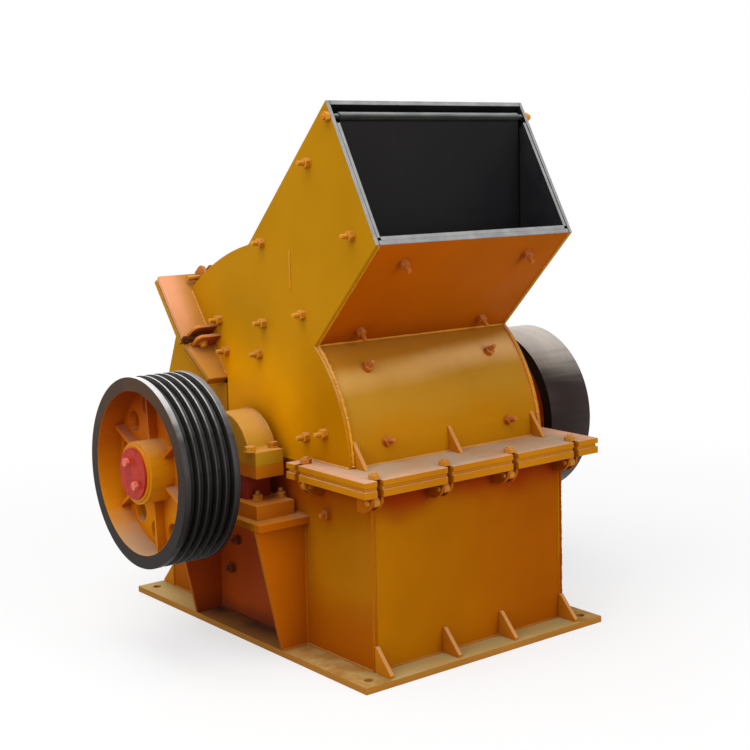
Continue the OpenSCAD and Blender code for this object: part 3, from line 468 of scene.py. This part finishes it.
# a darker orange than the other fittings, for the front bolts
darker_fitting = plain_paint("darker_fitting_enamel", srgb(190, 106, 24), dust=0.3, specular=0.12, corner=0.7)
lug_paint = plain_paint("lug_enamel", srgb(202, 120, 34), dust=0.5, corner=0.8, specular=0.1)
bolt_paint = plain_paint("bolt_enamel", srgb(196, 130, 40), dust=0.35, specular=0.1, corner=0.7)
# painted shade: dark brown bolts in the shade of the bays
bay_shade_fitting = plain_paint("bay_shade_fitting_enamel", srgb(110, 56, 22), dust=0.3, specular=0.15)
weld_paint = plain_paint("weld_enamel", srgb(204, 136, 28), dust=0.4, specular=0.12, corner=0.4)
steel = bare_steel()
dark_iron = cast_iron("dark_iron", srgb(34, 32, 32))
clamp_iron = cast_iron("clamp_iron", srgb(72, 36, 12), specular=0.04)
packing_mat = plain_paint("joint_packing", srgb(196, 124, 22), dust=0.2, corner=0.15)


def liner_material():
    """Wear plates: near-black painted shade over worn faces, cut edges in the inlet's plane."""
    m = Paint("wear_plate_steel")
    colour = m.mix(m.mouth(), m.worn(), m.cut_edge())
    return m.finish(colour=colour, rough=m.step(m.noise(14, 4), 0.3, 0.7, 0.45, 0.6), specular=0.25,
                    normal=m.bump(m.noise(60, 4), 0.3 * MM))


def rubber_material():
    m = Shader("curtain_rubber")
    bloom = m.step(m.noise(3.4, 4, 0.6, (1, 1, 0.5)), 0.4, 0.75)
    # painted shadow: darker towards the +X wall
    base = m.mix(m.step(m.axis(m.place, "X"), -0.2, 0.34), srgb(24, 22, 24), srgb(15, 16, 19))
    black = m.mix(m.math("MULTIPLY", bloom, 0.35), base, srgb(30, 28, 28))
    scuffs = m.step(m.noise(3.0, 6, 0.7, (12, 1, 1.5)), 0.6, 0.72)
    black = m.mix(m.math("MULTIPLY", scuffs, 0.12), black, srgb(66, 60, 56))
    return m.finish(colour=black, rough=0.62, normal=m.bump(m.noise(220, 3), 0.3 * MM), specular=0.1)


def red_material(name, red, worn_red):
    m = Shader(name)
    worn = m.step(m.noise(26, 4, 0.7), 0.4, 0.7)
    red = m.mix(worn, red, worn_red)
    return m.finish(colour=red, rough=0.42, normal=m.bump(m.noise(60, 3), 0.4 * MM), specular=0.1)


rod_steel = rod_material()
liner_steel = liner_material()
rubber_mat = rubber_material()
red_paint = red_material("red_enamel", srgb(188, 54, 40), srgb(162, 42, 28))
pale_red = red_material("pale_red_enamel", srgb(232, 132, 112), srgb(206, 84, 66))


def wheel_material(name, node, groove, turned_dark, turned_sheen, side_high, inner_land=0.0):
    """Dark iron rim with a painted sky reflection where it is turned and faces up, orange enamel inside it
    with painted shade.

    turned_sheen (painted sky reflection) and side_high (painted light high on the sides) are pairs of
    colours that a grain mixes. groove asks for black belt grooves, and the painted reflection is greyer
    nearer to the casing than inner_land.
    """
    m = Paint(name)
    outer = (high(node).z - low(node).z) / 2
    y = m.axis(m.place, "Y")
    z = m.math("SUBTRACT", m.axis(m.place, "Z"), SHAFT_Z)
    radius = m.math("SQRT", m.math("ADD", m.math("MULTIPLY", y, y), m.math("MULTIPLY", z, z)))
    sideways = m.math("ABSOLUTE", m.axis(m.normal, "X"))
    up = m.step(m.axis(m.normal, "Z"), 0.4, 1.0)
    grain = m.step(m.noise(7, 5, 0.65, (6, 1, 1)), 0.3, 0.75)
    beside = m.math("ABSOLUTE", m.axis(m.place, "X"))
    # painted sky reflection: turned faces that look up are bright, greyer near the casing
    near_wall = m.step(beside, inner_land + 4 * MM, inner_land, 0.0, 0.75)
    reflected = m.mix(near_wall, m.mix(grain, *turned_sheen), srgb(104, 102, 100))
    turned = m.mix(up, turned_dark, reflected)
    # painted light: the sides are lighter towards the top
    side_iron = m.mix(m.step(z, -0.1, outer), srgb(34, 27, 25), m.mix(grain, *side_high))
    iron = m.mix(m.step(sideways, 0.5, 0.8), turned, side_iron)
    if groove:
        # painted highlight on the grooves' faces that look up
        lit = m.step(m.axis(m.normal, "Z"), 0.3, 0.9)
        black = m.mix(lit, m.mix(grain, srgb(18, 17, 16), srgb(34, 33, 31)), srgb(80, 79, 76))
        iron = m.mix(m.step(radius, outer - 1.0 * MM, outer - 0.4 * MM), black, iron)
        # painted shade: the rim darkens towards the bottom
        iron = m.mix(m.step(z, 0.06, -0.16, 0.0, 0.75), iron, srgb(12, 10, 8))
        iron = m.mix(m.step(sideways, 0.97, 0.99), iron, side_iron)
    cloud = m.math("MULTIPLY", m.math("SUBTRACT", m.noise(6, 3), 0.5), 0.2)
    # painted shade: the enamel inside the rim is darker and red-brown towards the top
    paint = m.mix(m.step(m.math("ADD", z, cloud), -0.2, 0.16), srgb(218, 138, 8), srgb(186, 92, 6))
    paint = m.mix(m.math("MULTIPLY", m.step(z, 0.09, 0.21), 0.7), paint, srgb(112, 38, 8))
    paint = m.mix(m.step(radius, 0.105, 0.085, 0.0, 0.7), paint, srgb(218, 146, 14))
    # painted shade in the corners
    in_shade = m.step(m.corners(0.07), 0.3, 0.95, 1.0, 0.0)
    paint = m.mix(m.math("MULTIPLY", in_shade, 0.6), paint, srgb(160, 64, 8))
    dust = m.step(m.axis(m.normal, "Z"), 0.5, 0.98)
    paint = m.mix(m.math("MULTIPLY", dust, m.step(z, -0.1, 0.05, 0.7, 0.25)), paint, GREY_DUST)
    edge = m.math("ADD", radius, m.math("MULTIPLY", m.noise(60, 3), 1.6 * MM))
    rim = m.step(edge, outer - RIM + 1.2 * MM, outer - RIM + 2.4 * MM)
    return m.finish(colour=m.mix(rim, paint, iron), rough=m.step(rim, 0.0, 1.0, 0.45, 0.38),
                    metal=m.math("MULTIPLY", rim, 0.1), specular=0.08,
                    normal=m.bump(m.noise(180, 3), 0.25 * MM))


sheave_iron_and_sheen = wheel_material("sheave_iron_and_sheen", "drive_sheave", True, srgb(62, 60, 62),
                               (srgb(196, 197, 200), srgb(222, 222, 222)),
                               (srgb(64, 44, 22), srgb(80, 54, 26)),
                               -high("drive_sheave").x + 14 * MM)
flywheel_iron_and_sheen = wheel_material("flywheel_iron_and_sheen", "flywheel", False, srgb(46, 36, 34),
                                 (srgb(194, 186, 178), srgb(212, 200, 188)),
                                 (srgb(26, 24, 26), srgb(34, 31, 32)))


# --- mesh making ---------------------------------------------------------------

SMOOTH_UNDER = math.radians(40)          # edges that turn less are shaded smooth
NUT_H = 14 * MM
WASHER_T = 2.5 * MM
THREAD_PITCH = 2 * MM
THREAD_DEPTH = 0.9 * MM
CHAMFER = math.tan(math.radians(30))
BEAD_PITCH = 4.5 * MM


def frame_of(direction, at):
    """A matrix whose Z runs along a direction and whose origin is a point."""
    z = Vector(direction).normalized()
    y = z.cross(Vector((1, 0, 0)) if abs(z.x) < 0.7 else Vector((0, 0, 1))).normalized()
    turn = Matrix((y.cross(z), y, z)).transposed().to_4x4()
    return Matrix.Translation(at) @ turn


class Mesh:
    """Collects rings and faces in the CAD frame and becomes one piece."""

    def __init__(self):
        self.bm = bmesh.new()

    def ring(self, points):
        return [self.bm.verts.new(p) for p in points]

    def join(self, a, b, closed=True):
        n = len(a)
        for i in range(n if closed else n - 1):
            j = (i + 1) % n
            self.bm.faces.new((a[i], a[j], b[j], b[i]))

    def loft(self, rings):
        """Joins rings of points in turn and closes both ends."""
        made = [self.ring(r) for r in rings]
        for a, b in zip(made, made[1:]):
            self.join(a, b)
        self.bm.faces.new(list(reversed(made[0])))
        self.bm.faces.new(made[-1])

    def piece(self, name, material, body, slot):
        mesh = bpy.data.meshes.new(name)
        bmesh.ops.recalc_face_normals(self.bm, faces=self.bm.faces)
        self.bm.to_mesh(mesh)
        self.bm.free()
        piece = bpy.data.objects.new(name, mesh)
        bpy.context.scene.collection.objects.link(piece)
        mesh.materials.append(material)
        for face in mesh.polygons:
            face.use_smooth = True
        mesh.set_sharp_from_angle(angle=SMOOTH_UNDER)
        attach(piece, body)
        return piece


def circle(count, radius, z=0.0):
    step = 2 * math.pi / count
    return [Vector((radius * math.cos(i * step), radius * math.sin(i * step), z)) for i in range(count)]


def hex_ring(flat, z, chamfer):
    """A hexagon of 24 points, its corners taken down (chamfer 1) or up (-1) at 30 degrees."""
    points = []
    for i in range(24):
        a = math.radians(15 * i)
        off = (a + math.pi / 6) % (math.pi / 3) - math.pi / 6
        r = flat / 2 / math.cos(off)
        drop = (r - flat / 2) * CHAMFER * chamfer
        points.append(Vector((r * math.cos(a), r * math.sin(a), z - drop)))
    return points


def add_nut(mesh, place, flat, height, start=0.0, turn=0.0):
    spin = place @ Matrix.Rotation(turn, 4, "Z")
    rings = [circle(24, flat / 2 * 0.98, start), hex_ring(flat, start, -1),
             hex_ring(flat, start + height, 1), circle(24, flat / 2 * 0.96, start + height)]
    mesh.loft([[spin @ p for p in ring] for ring in rings])


def add_stud(mesh, place, size, length, start):
    """A threaded end: rings of thread and a rounded tip."""
    rings = [circle(14, size / 2, start - THREAD_PITCH)]
    turns = int(length / THREAD_PITCH)
    for i in range(turns):
        z = start + i * THREAD_PITCH
        rings.append(circle(14, size / 2 - THREAD_DEPTH, z))
        rings.append(circle(14, size / 2, z + THREAD_PITCH / 2))
    top = start + turns * THREAD_PITCH
    rings.append(circle(14, size / 2 - 0.6 * MM, top + 0.6 * MM))
    rings.append(circle(14, size / 4, top + 1.6 * MM))
    mesh.loft([[place @ p for p in ring] for ring in rings])


def add_washer(mesh, place, radius, thick):
    mesh.loft([[place @ p for p in circle(24, r, z)]
               for r, z in ((radius, 0), (radius, thick - 0.5 * MM), (radius - 0.7 * MM, thick))])


def add_liner_bolt(mesh, at, direction, flat=26 * MM, reach=38 * MM, size=14 * MM):
    """Washer, nut and the bolt's threaded end, as they hold a wear plate."""
    place = frame_of(direction, at)
    lean = Matrix.Rotation(math.radians(rng.uniform(-3, 3)), 4, "X")
    start = WASHER_T + NUT_H
    add_washer(mesh, place, flat * 0.56, WASHER_T)
    add_nut(mesh, place, flat, NUT_H, WASHER_T, rng.uniform(0, math.pi / 3))
    add_stud(mesh, place @ lean, size, reach - start - 0.5 * MM, start)


def add_bolt_head(mesh, at, direction, flat, height):
    place = frame_of(direction, at)
    add_washer(mesh, place, flat * 0.62, 3 * MM)
    add_nut(mesh, place, flat, height, 3 * MM, rng.uniform(0, math.pi / 3))


def line(a, b):
    return [Vector(a), Vector(b)]


def add_bead(mesh, points, radius, rough=0.25):
    """A weld bead: a tube along points whose size and place ripple a little."""
    path = [Vector(points[0])]
    for a, b in zip(points, points[1:]):
        count = max(1, round((Vector(b) - Vector(a)).length / BEAD_PITCH))
        path += [Vector(a).lerp(Vector(b), i / count) for i in range(1, count + 1)]
    rings = []
    size = 1.0
    for i, p in enumerate(path):
        ahead = path[min(i + 1, len(path) - 1)] - path[max(i - 1, 0)]
        place = frame_of(ahead, p + Vector([rng.uniform(-2, 2) * rough * MM for _ in range(3)]))
        size += (1 + rng.uniform(-rough, rough) - size) * 0.6
        ripple = 1.08 if i % 2 else 0.94
        if i in (0, len(path) - 1):
            ripple = 0.55
        rings.append([place @ q for q in circle(7, radius * size * ripple)])
    mesh.loft(rings)


# --- weld beads ------------------------------------------------------------------

def arc(start, end, radius, x, count=24):
    return [from_shaft(start + (end - start) * i / count, radius, x) for i in range(count + 1)]


def across(point, half):
    """A line along X through a point."""
    return line((-half, point.y, point.z), (half, point.y, point.z))


def sided(side, x, points):
    return [Vector((side * x, p[0], p[1])) for p in points]


def casing_welds():
    """Beads where the lower casing's walls, base plate and flange meet."""
    mesh = Mesh()
    for side in (-1, 1):
        for end in (-1, 1):
            y = end * WALL_Y
            add_bead(mesh, sided(side, WALL_X, [(y, BASE_TOP), (y, FLANGE_LOW)]), 3.5 * MM)
        add_bead(mesh, sided(side, WALL_X, [(-WALL_Y, BASE_TOP), (WALL_Y, BASE_TOP)]), 4.5 * MM)
        flange_seam = [(-WALL_Y, FLANGE_LOW), (FLANGE_END - 4 * MM, FLANGE_LOW)]
        add_bead(mesh, sided(side, WALL_X, flange_seam), 3.5 * MM)
        for y in BRACKETS:
            add_bead(mesh, sided(side, WALL_X, [(y, BASE_TOP), (y, PEDESTAL_LOW)]), 4.5 * MM)
            add_bead(mesh, line((side * WALL_X, y, BASE_TOP), (side * BRACKET_FOOT_X, y, BASE_TOP)), 4 * MM)
        pedestal_seam = [(PEDESTAL_FRONT + 4 * MM, PEDESTAL_TOP), (PEDESTAL_REAR - 2 * MM, PEDESTAL_TOP)]
        add_bead(mesh, sided(side, WALL_X, pedestal_seam), 4 * MM)
    for end in (-1, 1):
        for z in (BASE_TOP, FLANGE_LOW):
            add_bead(mesh, line((-WALL_X, end * WALL_Y, z), (WALL_X, end * WALL_Y, z)), 4 * MM)
    mesh.piece("casing_welds", weld_orange, "housing", "front_paint")


SIDE_BEAD = [(-0.187, 1.028), (-0.187, 1.139)]    # y and z of the ends of a short bead on each side
CHUTE_TOP_LEN = 0.56                     # of the beads along the chute's top plate


def upper_welds():
    """Beads of the upper casing, laid along its plates, flanges and the sloping joint."""
    mesh = Mesh()
    slope = JOINT_TOP - JOINT_LOW
    for side in (-1, 1):
        add_bead(mesh, arc(FLANGE_ANGLE, FOOT_ANGLE, FRONT_R + 1 * MM, side * SEAM_X), 5 * MM, rough=0.45)
        flange_seam = [(-WALL_Y + 90 * MM, FLANGE_TOP), (FLANGE_END - 9 * MM, FLANGE_TOP)]
        add_bead(mesh, sided(side, UPPER_X, flange_seam), 4 * MM)
        wing = [JOINT_LOW + slope * share for share in (0.02, 0.98)]
        add_bead(mesh, sided(side, UPPER_X, [(p.y, p.z) for p in wing]), 5 * MM)
        add_bead(mesh, sided(side, UPPER_X + 0.3 * MM, SIDE_BEAD), 3.5 * MM)
        seam = Vector((side * SEAM_X, 0, 0))
        add_bead(mesh, line(seam + LIP + CHUTE_DOWN * 4 * MM,
                            Vector((side * SEAM_X, 0, SHAFT_Z)) + foot), 3.2 * MM)
        add_bead(mesh, line(seam + INLET_TOP + CHUTE_DOWN * 4 * MM,
                            seam + INLET_TOP + CHUTE_DOWN * CHUTE_TOP_LEN), 3.2 * MM)
    add_bead(mesh, across(from_shaft(FOOT_ANGLE, FRONT_R), SEAM_X), 4 * MM)
    add_bead(mesh, across(from_shaft(FLANGE_ANGLE, FRONT_R), SEAM_X), 3.5 * MM)
    add_bead(mesh, across(JOINT_TOP, SEAM_X), 4 * MM)
    mesh.piece("upper_welds", weld_paint, "housing", "side_paint")


# --- studs and bolts ---------------------------------------------------------------

# y and z of the wear plates' bolts: on the upper side walls, near the lower casing's
# front corners, and in the bays under the bearings
UPPER_WALL_BOLTS = [(-0.289, 1.379), (-0.482, 1.187), (-0.049, 1.153), (-0.247, 0.961), (-0.048, 0.922),
                    (0.193, 0.912), (-0.023, 0.830), (0.158, 0.822), (-0.251, 0.619), (-0.338, 0.640)]
CORNER_BOLT = (-0.338, 0.415)
BAY_BOLTS = [(0.133, 0.250), (0.167, 0.158)]
LOWER_BOLT = (25 * MM, 32 * MM)          # flats and reach of the lower casing's bolts
FRONT_BOLT_X = 0.225
CURVE_ANGLES = (10, 37)                  # of the bolts on the curved plate, in degrees
CHUTE_SHARES = (0.19, 0.88)              # of the way down the chute, for the bolts under it


def wall_bolts():
    mesh = Mesh()
    bay = Mesh()
    for side in (-1, 1):
        for y, z in UPPER_WALL_BOLTS:
            add_liner_bolt(mesh, (side * UPPER_X, y, z), (side, 0, 0))
        for y, z in BAY_BOLTS:
            add_liner_bolt(bay, (side * WALL_X, y, z), (side, 0, 0), *LOWER_BOLT)
    bay.piece("bay_bolts", bay_shade_fitting, "housing", "front_paint")
    mesh.piece("wall_bolts", fitting_paint, "housing", "front_paint")


def front_bolts():
    """Bolts on the curved plate, under the chute and near the lower casing's corners."""
    mesh = Mesh()
    slope = from_shaft(FOOT_ANGLE, FRONT_R) - LIP
    for x in (-FRONT_BOLT_X, FRONT_BOLT_X):
        for angle in CURVE_ANGLES:
            at = from_shaft(angle, FRONT_R, x)
            add_liner_bolt(mesh, at, at - Vector((x, 0, SHAFT_Z)))
        for share in CHUTE_SHARES:
            at = LIP + slope * share
            add_liner_bolt(mesh, (x, at.y, at.z), -CHUTE_IN)
    for side in (-1, 1):
        add_liner_bolt(mesh, (side * WALL_X, *CORNER_BOLT), (side, 0, 0), *LOWER_BOLT)
    mesh.piece("front_bolts", darker_fitting, "housing", "front_paint")


# distance of the bearings' bolts from the machine's middle along X and from the shaft
FOOT_BOLTS = [(0.442, 0.123), (0.374, 0.138)]
CAP_BOLTS = [(0.474, 0.139), (0.390, 0.125)]
FOOT_TOP = PEDESTAL_TOP + 40 * MM
EAR_TOP = SHAFT_Z + 39 * MM


def bearing_bolts():
    """Studs with nuts on the bearings' feet, flanged bolt heads on their caps."""
    mesh = Mesh()
    for side in (-1, 1):
        for end in (-1, 1):
            for x, y in FOOT_BOLTS:
                at = (side * x, end * y, FOOT_TOP)
                add_bolt_head(mesh, at, (0, 0, 1), 26 * MM, 13 * MM)
                add_stud(mesh, frame_of((0, 0, 1), at), 14 * MM, 11 * MM, 16 * MM)
            for x, y in CAP_BOLTS:
                at = (side * x, end * y, EAR_TOP)
                add_washer(mesh, frame_of((0, 0, 1), at), 17 * MM, 4 * MM)
                add_nut(mesh, frame_of((0, 0, 1), at), 28 * MM, 12 * MM, 4 * MM, rng.uniform(0, 1))
    mesh.piece("bearing_bolts", fitting_paint, "housing", "side_paint")


def cap_rims():
    """The raised rims at both ends of the bearing caps."""
    mesh = Mesh()
    cap_end = high("bearing_caps").x
    cap_r = high("bearing_caps").z - SHAFT_Z
    for side in (-1, 1):
        for x in (cap_end - 3 * MM, cap_end - BEARING_W + 3 * MM):
            add_bead(mesh, arc(17, 163, cap_r - 0.5 * MM, side * x, 40), 2.6 * MM)
    mesh.piece("cap_rims", fitting_paint, "housing", "side_paint")


# the middle of the side clamps' pins: down from the joint's top, in front of it, and
# outside the wall, with half the length between the heads
CLAMP_DROP = 184 * MM
CLAMP_FRONT = 18 * MM
CLAMP_OUT = 47 * MM
CLAMP_HALF = 22 * MM


def clamp_heads():
    """Round heads on both ends of the side clamps' pins."""
    mesh = Mesh()
    on_joint = JOINT_TOP - JOINT_UP * CLAMP_DROP + JOINT_FRONT * CLAMP_FRONT
    for side in (-1, 1):
        centre = on_joint + Vector((side * (UPPER_X + CLAMP_OUT), 0, 0))
        for end in (-1, 1):
            place = frame_of(JOINT_UP * end, centre + JOINT_UP * end * CLAMP_HALF)
            add_washer(mesh, place, 15 * MM, 3 * MM)
            mesh.loft([[place @ p for p in circle(20, r * MM, z * MM)]
                       for r, z in ((11, 3), (11.5, 9), (9.5, 12), (4, 14))])
    mesh.piece("clamp_pin_heads", fitting_paint, "housing", "front_paint")


DISC_BOLT = (24 * MM, 29 * MM)           # y and z of the end discs' bolts from the shaft


def disc_bolts():
    mesh = Mesh()
    lo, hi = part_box("end_discs")
    for face, side in ((lo.x, -1), (hi.x, 1)):
        for s in (-1, 1):
            at = (face, s * DISC_BOLT[0], SHAFT_Z + s * DISC_BOLT[1])
            add_nut(mesh, frame_of((side, 0, 0), at), 22 * MM, 12 * MM)
    mesh.piece("end_disc_bolts", pale_red, "rotor", "red_paint")


# --- the rubber curtain --------------------------------------------------------------

def rubber_curtain():
    """A hanging flap with slight waves and a worn, wavy lower edge."""
    lo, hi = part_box("rubber_curtain")
    width = hi.x - lo.x
    height = hi.z - lo.z
    thick = hi.y - lo.y
    columns, lines = 60, 48
    mesh = Mesh()
    sheets = []
    for face in (0, 1):
        rows = []
        for j in range(lines + 1):
            v = j / lines
            row = []
            for i in range(columns + 1):
                u = i / columns
                wave = 2.2 * math.sin(7.0 * u + 1.3) + 1.4 * math.sin(15.0 * u + 2.0 * v)
                y = lo.y + face * thick + wave * v * MM
                edge = 2.0 * math.sin(21 * u) * MM if j == lines else 0.0
                row.append(mesh.bm.verts.new((lo.x + u * width, y, hi.z - v * height + edge)))
            rows.append(row)
        for a, b in zip(rows, rows[1:]):
            mesh.join(a, b, closed=False)
        sheets.append(rows)
    front, back = sheets
    for a, b in ((front[0], back[0]), (front[-1], back[-1])):
        mesh.join(a, b, closed=False)
    for i in (0, -1):
        mesh.join([r[i] for r in front], [r[i] for r in back], closed=False)
    piece = mesh.piece("curtain_flap", rubber_mat, "curtain", "rubber")
    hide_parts("rubber_curtain")


# --- materials of the CAD nodes ---------------------------------------------------------

BY_NODE = {
    upper_paint: ("upper_left_wall", "upper_right_wall"),
    roof_paint: ("chute_top_plate", "crown_plate"),
    chute_paint: ("chute_bottom_plate",),
    curved_paint: ("front_plate",),
    joint_paint: ("joint_flange",),
    side_paint: ("cover_sides", "cover_rear_plate", "cover_flange"),
    lower_paint: ("lower_left_wall", "lower_right_wall", "pedestals"),
    gusset_paint: ("gussets",),
    front_wall: ("lower_end_walls",),
    flange_paint: ("lower_flange", "upper_flange"),
    base_paint: ("base_plate",),
    bearing_paint: ("bearing_caps",),
    bearing_base: ("bearing_bases",),
    bolt_paint: ("swing_bolts",),
    fitting_paint: ("clamp_pins", "rod_nuts", "hinge_lugs", "cover_hinge_arms"),
    lug_paint: ("clamp_lugs",),
    shaded_paint: ("swing_bolt_lugs",),
    liner_steel: ("chute_liner", "side_liners"),
    rod_steel: ("curtain_rod", "curtain_hanger"),
    steel: ("hinge_pins", "hammer_pins", "rotor_shaft"),
    clamp_iron: ("clamp_bolts",),
    dark_iron: ("front_liner", "discharge_grate", "grate_rails", "rotor_discs", "hammers"),
    packing_mat: ("flange_packing",),
    rubber_mat: ("rubber_curtain",),
    red_paint: ("end_discs",),
    sheave_iron_and_sheen: ("drive_sheave",),
    flywheel_iron_and_sheen: ("flywheel",)}

UNBEVELLED = ("base_plate",)             # torch-cut, its edges are left sharp
BEVEL = 1.3 * MM
BEVEL_OVER = math.radians(35)            # edges that turn less stay as they are
MERGE_UNDER = 0.01 * MM


def dress_nodes():
    for material, names in BY_NODE.items():
        for name in names:
            node = frame["nodes"][name]
            node.data.materials.clear()
            node.data.materials.append(material)
            if name in UNBEVELLED:
                continue
            weld = node.modifiers.new("weld", "WELD")
            weld.merge_threshold = MERGE_UNDER
            bevel = node.modifiers.new("bevel", "BEVEL")
            bevel.width = BEVEL
            bevel.segments = 2
            bevel.limit_method = "ANGLE"
            bevel.angle_limit = BEVEL_OVER
            bevel.harden_normals = True


# --- camera, light and floor ---------------------------------------------------------------

# the camera as fitted to points of the photo, in a picture of 750 x 750 pixels
CAMERA_AT = (-2.6205, -3.5518, 1.4033)
HEADING = math.radians(39.861)           # from +Y towards +X
TILT = math.radians(5.386)               # downward
ROLL = math.radians(-0.93)
PICTURE = 750
FOCAL = 1451.0                           # in pixels
AXIS_AT = (440.3, 288.7)                 # pixel that the camera's axis goes through
SENSOR = 36

LAMP_AIM = Vector((0, 0, 0.8))
# name, place, side in metres and power in watts
LAMPS = (("sky", (-1.8, -0.8, 6.0), 5.0, 230),
         ("left", (-5.5, -1.5, 2.6), 3.0, 90),
         ("front", (1.2, -6.5, 2.4), 3.6, 150),
         ("rear", (2.5, 6.0, 3.0), 3.6, 110))
FILL = 0.42                              # strength of the backdrop where only light matters
FLOOR_HALF = 30


def camera():
    data = bpy.data.cameras.new("camera")
    cam = bpy.data.objects.new("camera", data)
    bpy.context.scene.collection.objects.link(cam)
    cam.location = CAMERA_AT
    level = math.cos(TILT)
    forward = Vector((math.sin(HEADING) * level, math.cos(HEADING) * level, -math.sin(TILT)))
    turn = forward.to_track_quat("-Z", "Y").to_matrix() @ Matrix.Rotation(ROLL, 3, "Z")
    cam.rotation_euler = turn.to_euler()
    data.sensor_width = SENSOR
    data.lens = SENSOR * FOCAL / PICTURE
    data.shift_x = (PICTURE / 2 - AXIS_AT[0]) / PICTURE
    data.shift_y = (AXIS_AT[1] - PICTURE / 2) / PICTURE
    data.clip_end = 2 * FLOOR_HALF
    bpy.context.scene.camera = cam


def area_light(name, at, size, power):
    data = bpy.data.lights.new(name, "AREA")
    data.shape = "SQUARE"
    data.size = size
    data.energy = power
    lamp = bpy.data.objects.new(name, data)
    lamp.location = at
    lamp.rotation_euler = (LAMP_AIM - Vector(at)).to_track_quat("-Z", "Y").to_euler()
    bpy.context.scene.collection.objects.link(lamp)


def seeing_rays(tree):
    """1 for rays that come from the camera, from glossy surfaces or through glass."""
    path = tree.nodes.new("ShaderNodeLightPath")
    seen = path.outputs["Is Camera Ray"]
    for name in ("Is Glossy Ray", "Is Transmission Ray"):
        either = tree.nodes.new("ShaderNodeMath")
        either.operation = "MAXIMUM"
        tree.links.new(seen, either.inputs[0])
        tree.links.new(path.outputs[name], either.inputs[1])
        seen = either.outputs[0]
    return seen


def lights():
    for lamp in LAMPS:
        area_light(*lamp)
    world = bpy.data.worlds.new("studio")
    bpy.context.scene.world = world
    world.use_nodes = True
    tree = world.node_tree
    tree.nodes.clear()
    strength = tree.nodes.new("ShaderNodeMapRange")
    strength.inputs["To Min"].default_value = FILL
    strength.inputs["To Max"].default_value = 1.0
    tree.links.new(seeing_rays(tree), strength.inputs["Value"])
    background = tree.nodes.new("ShaderNodeBackground")
    background.inputs["Color"].default_value = (1, 1, 1, 1)
    tree.links.new(strength.outputs["Result"], background.inputs["Strength"])
    out = tree.nodes.new("ShaderNodeOutputWorld")
    tree.links.new(background.outputs[0], out.inputs[0])


def floor_mesh(half):
    mesh = bpy.data.meshes.new("floor")
    corners = [(-half, -half, 0), (half, -half, 0), (half, half, 0), (-half, half, 0)]
    mesh.from_pydata(corners, [], [(0, 1, 2, 3)])
    return mesh


def floor():
    """Pale floor that keeps the crusher's shadow and turns as white as the backdrop far out."""
    m = Shader("floor")
    seen = seeing_rays(m.tree)
    away = m.node("ShaderNodeVectorMath", {0: m.place}, operation="LENGTH").outputs["Value"]
    glow = m.step(away, 1.0, 3.2, 0.62, 1.0)
    pale = m.mix(seen, (0.46, 0.38, 0.30, 1), (0.9, 0.9, 0.9, 1))
    matt = m.node("ShaderNodeBsdfDiffuse", {"Color": pale})
    white = m.node("ShaderNodeEmission", {"Color": (1, 1, 1, 1), "Strength": 1.0})
    blend = m.node("ShaderNodeMixShader", {0: m.math("MULTIPLY", seen, glow)})
    out = m.node("ShaderNodeOutputMaterial")
    m.tree.links.new(matt.outputs[0], blend.inputs[1])
    m.tree.links.new(white.outputs[0], blend.inputs[2])
    m.tree.links.new(blend.outputs[0], out.inputs[0])
    mesh = floor_mesh(FLOOR_HALF)
    mesh.materials.append(m.material)
    plane = bpy.data.objects.new("floor", mesh)
    bpy.context.scene.collection.objects.link(plane)


bpy.context.scene.view_settings.view_transform = "Standard"
camera()
dress_nodes()
casing_welds()
upper_welds()
wall_bolts()
front_bolts()
bearing_bolts()
cap_rims()
clamp_heads()
disc_bolts()
rubber_curtain()
lights()
floor()
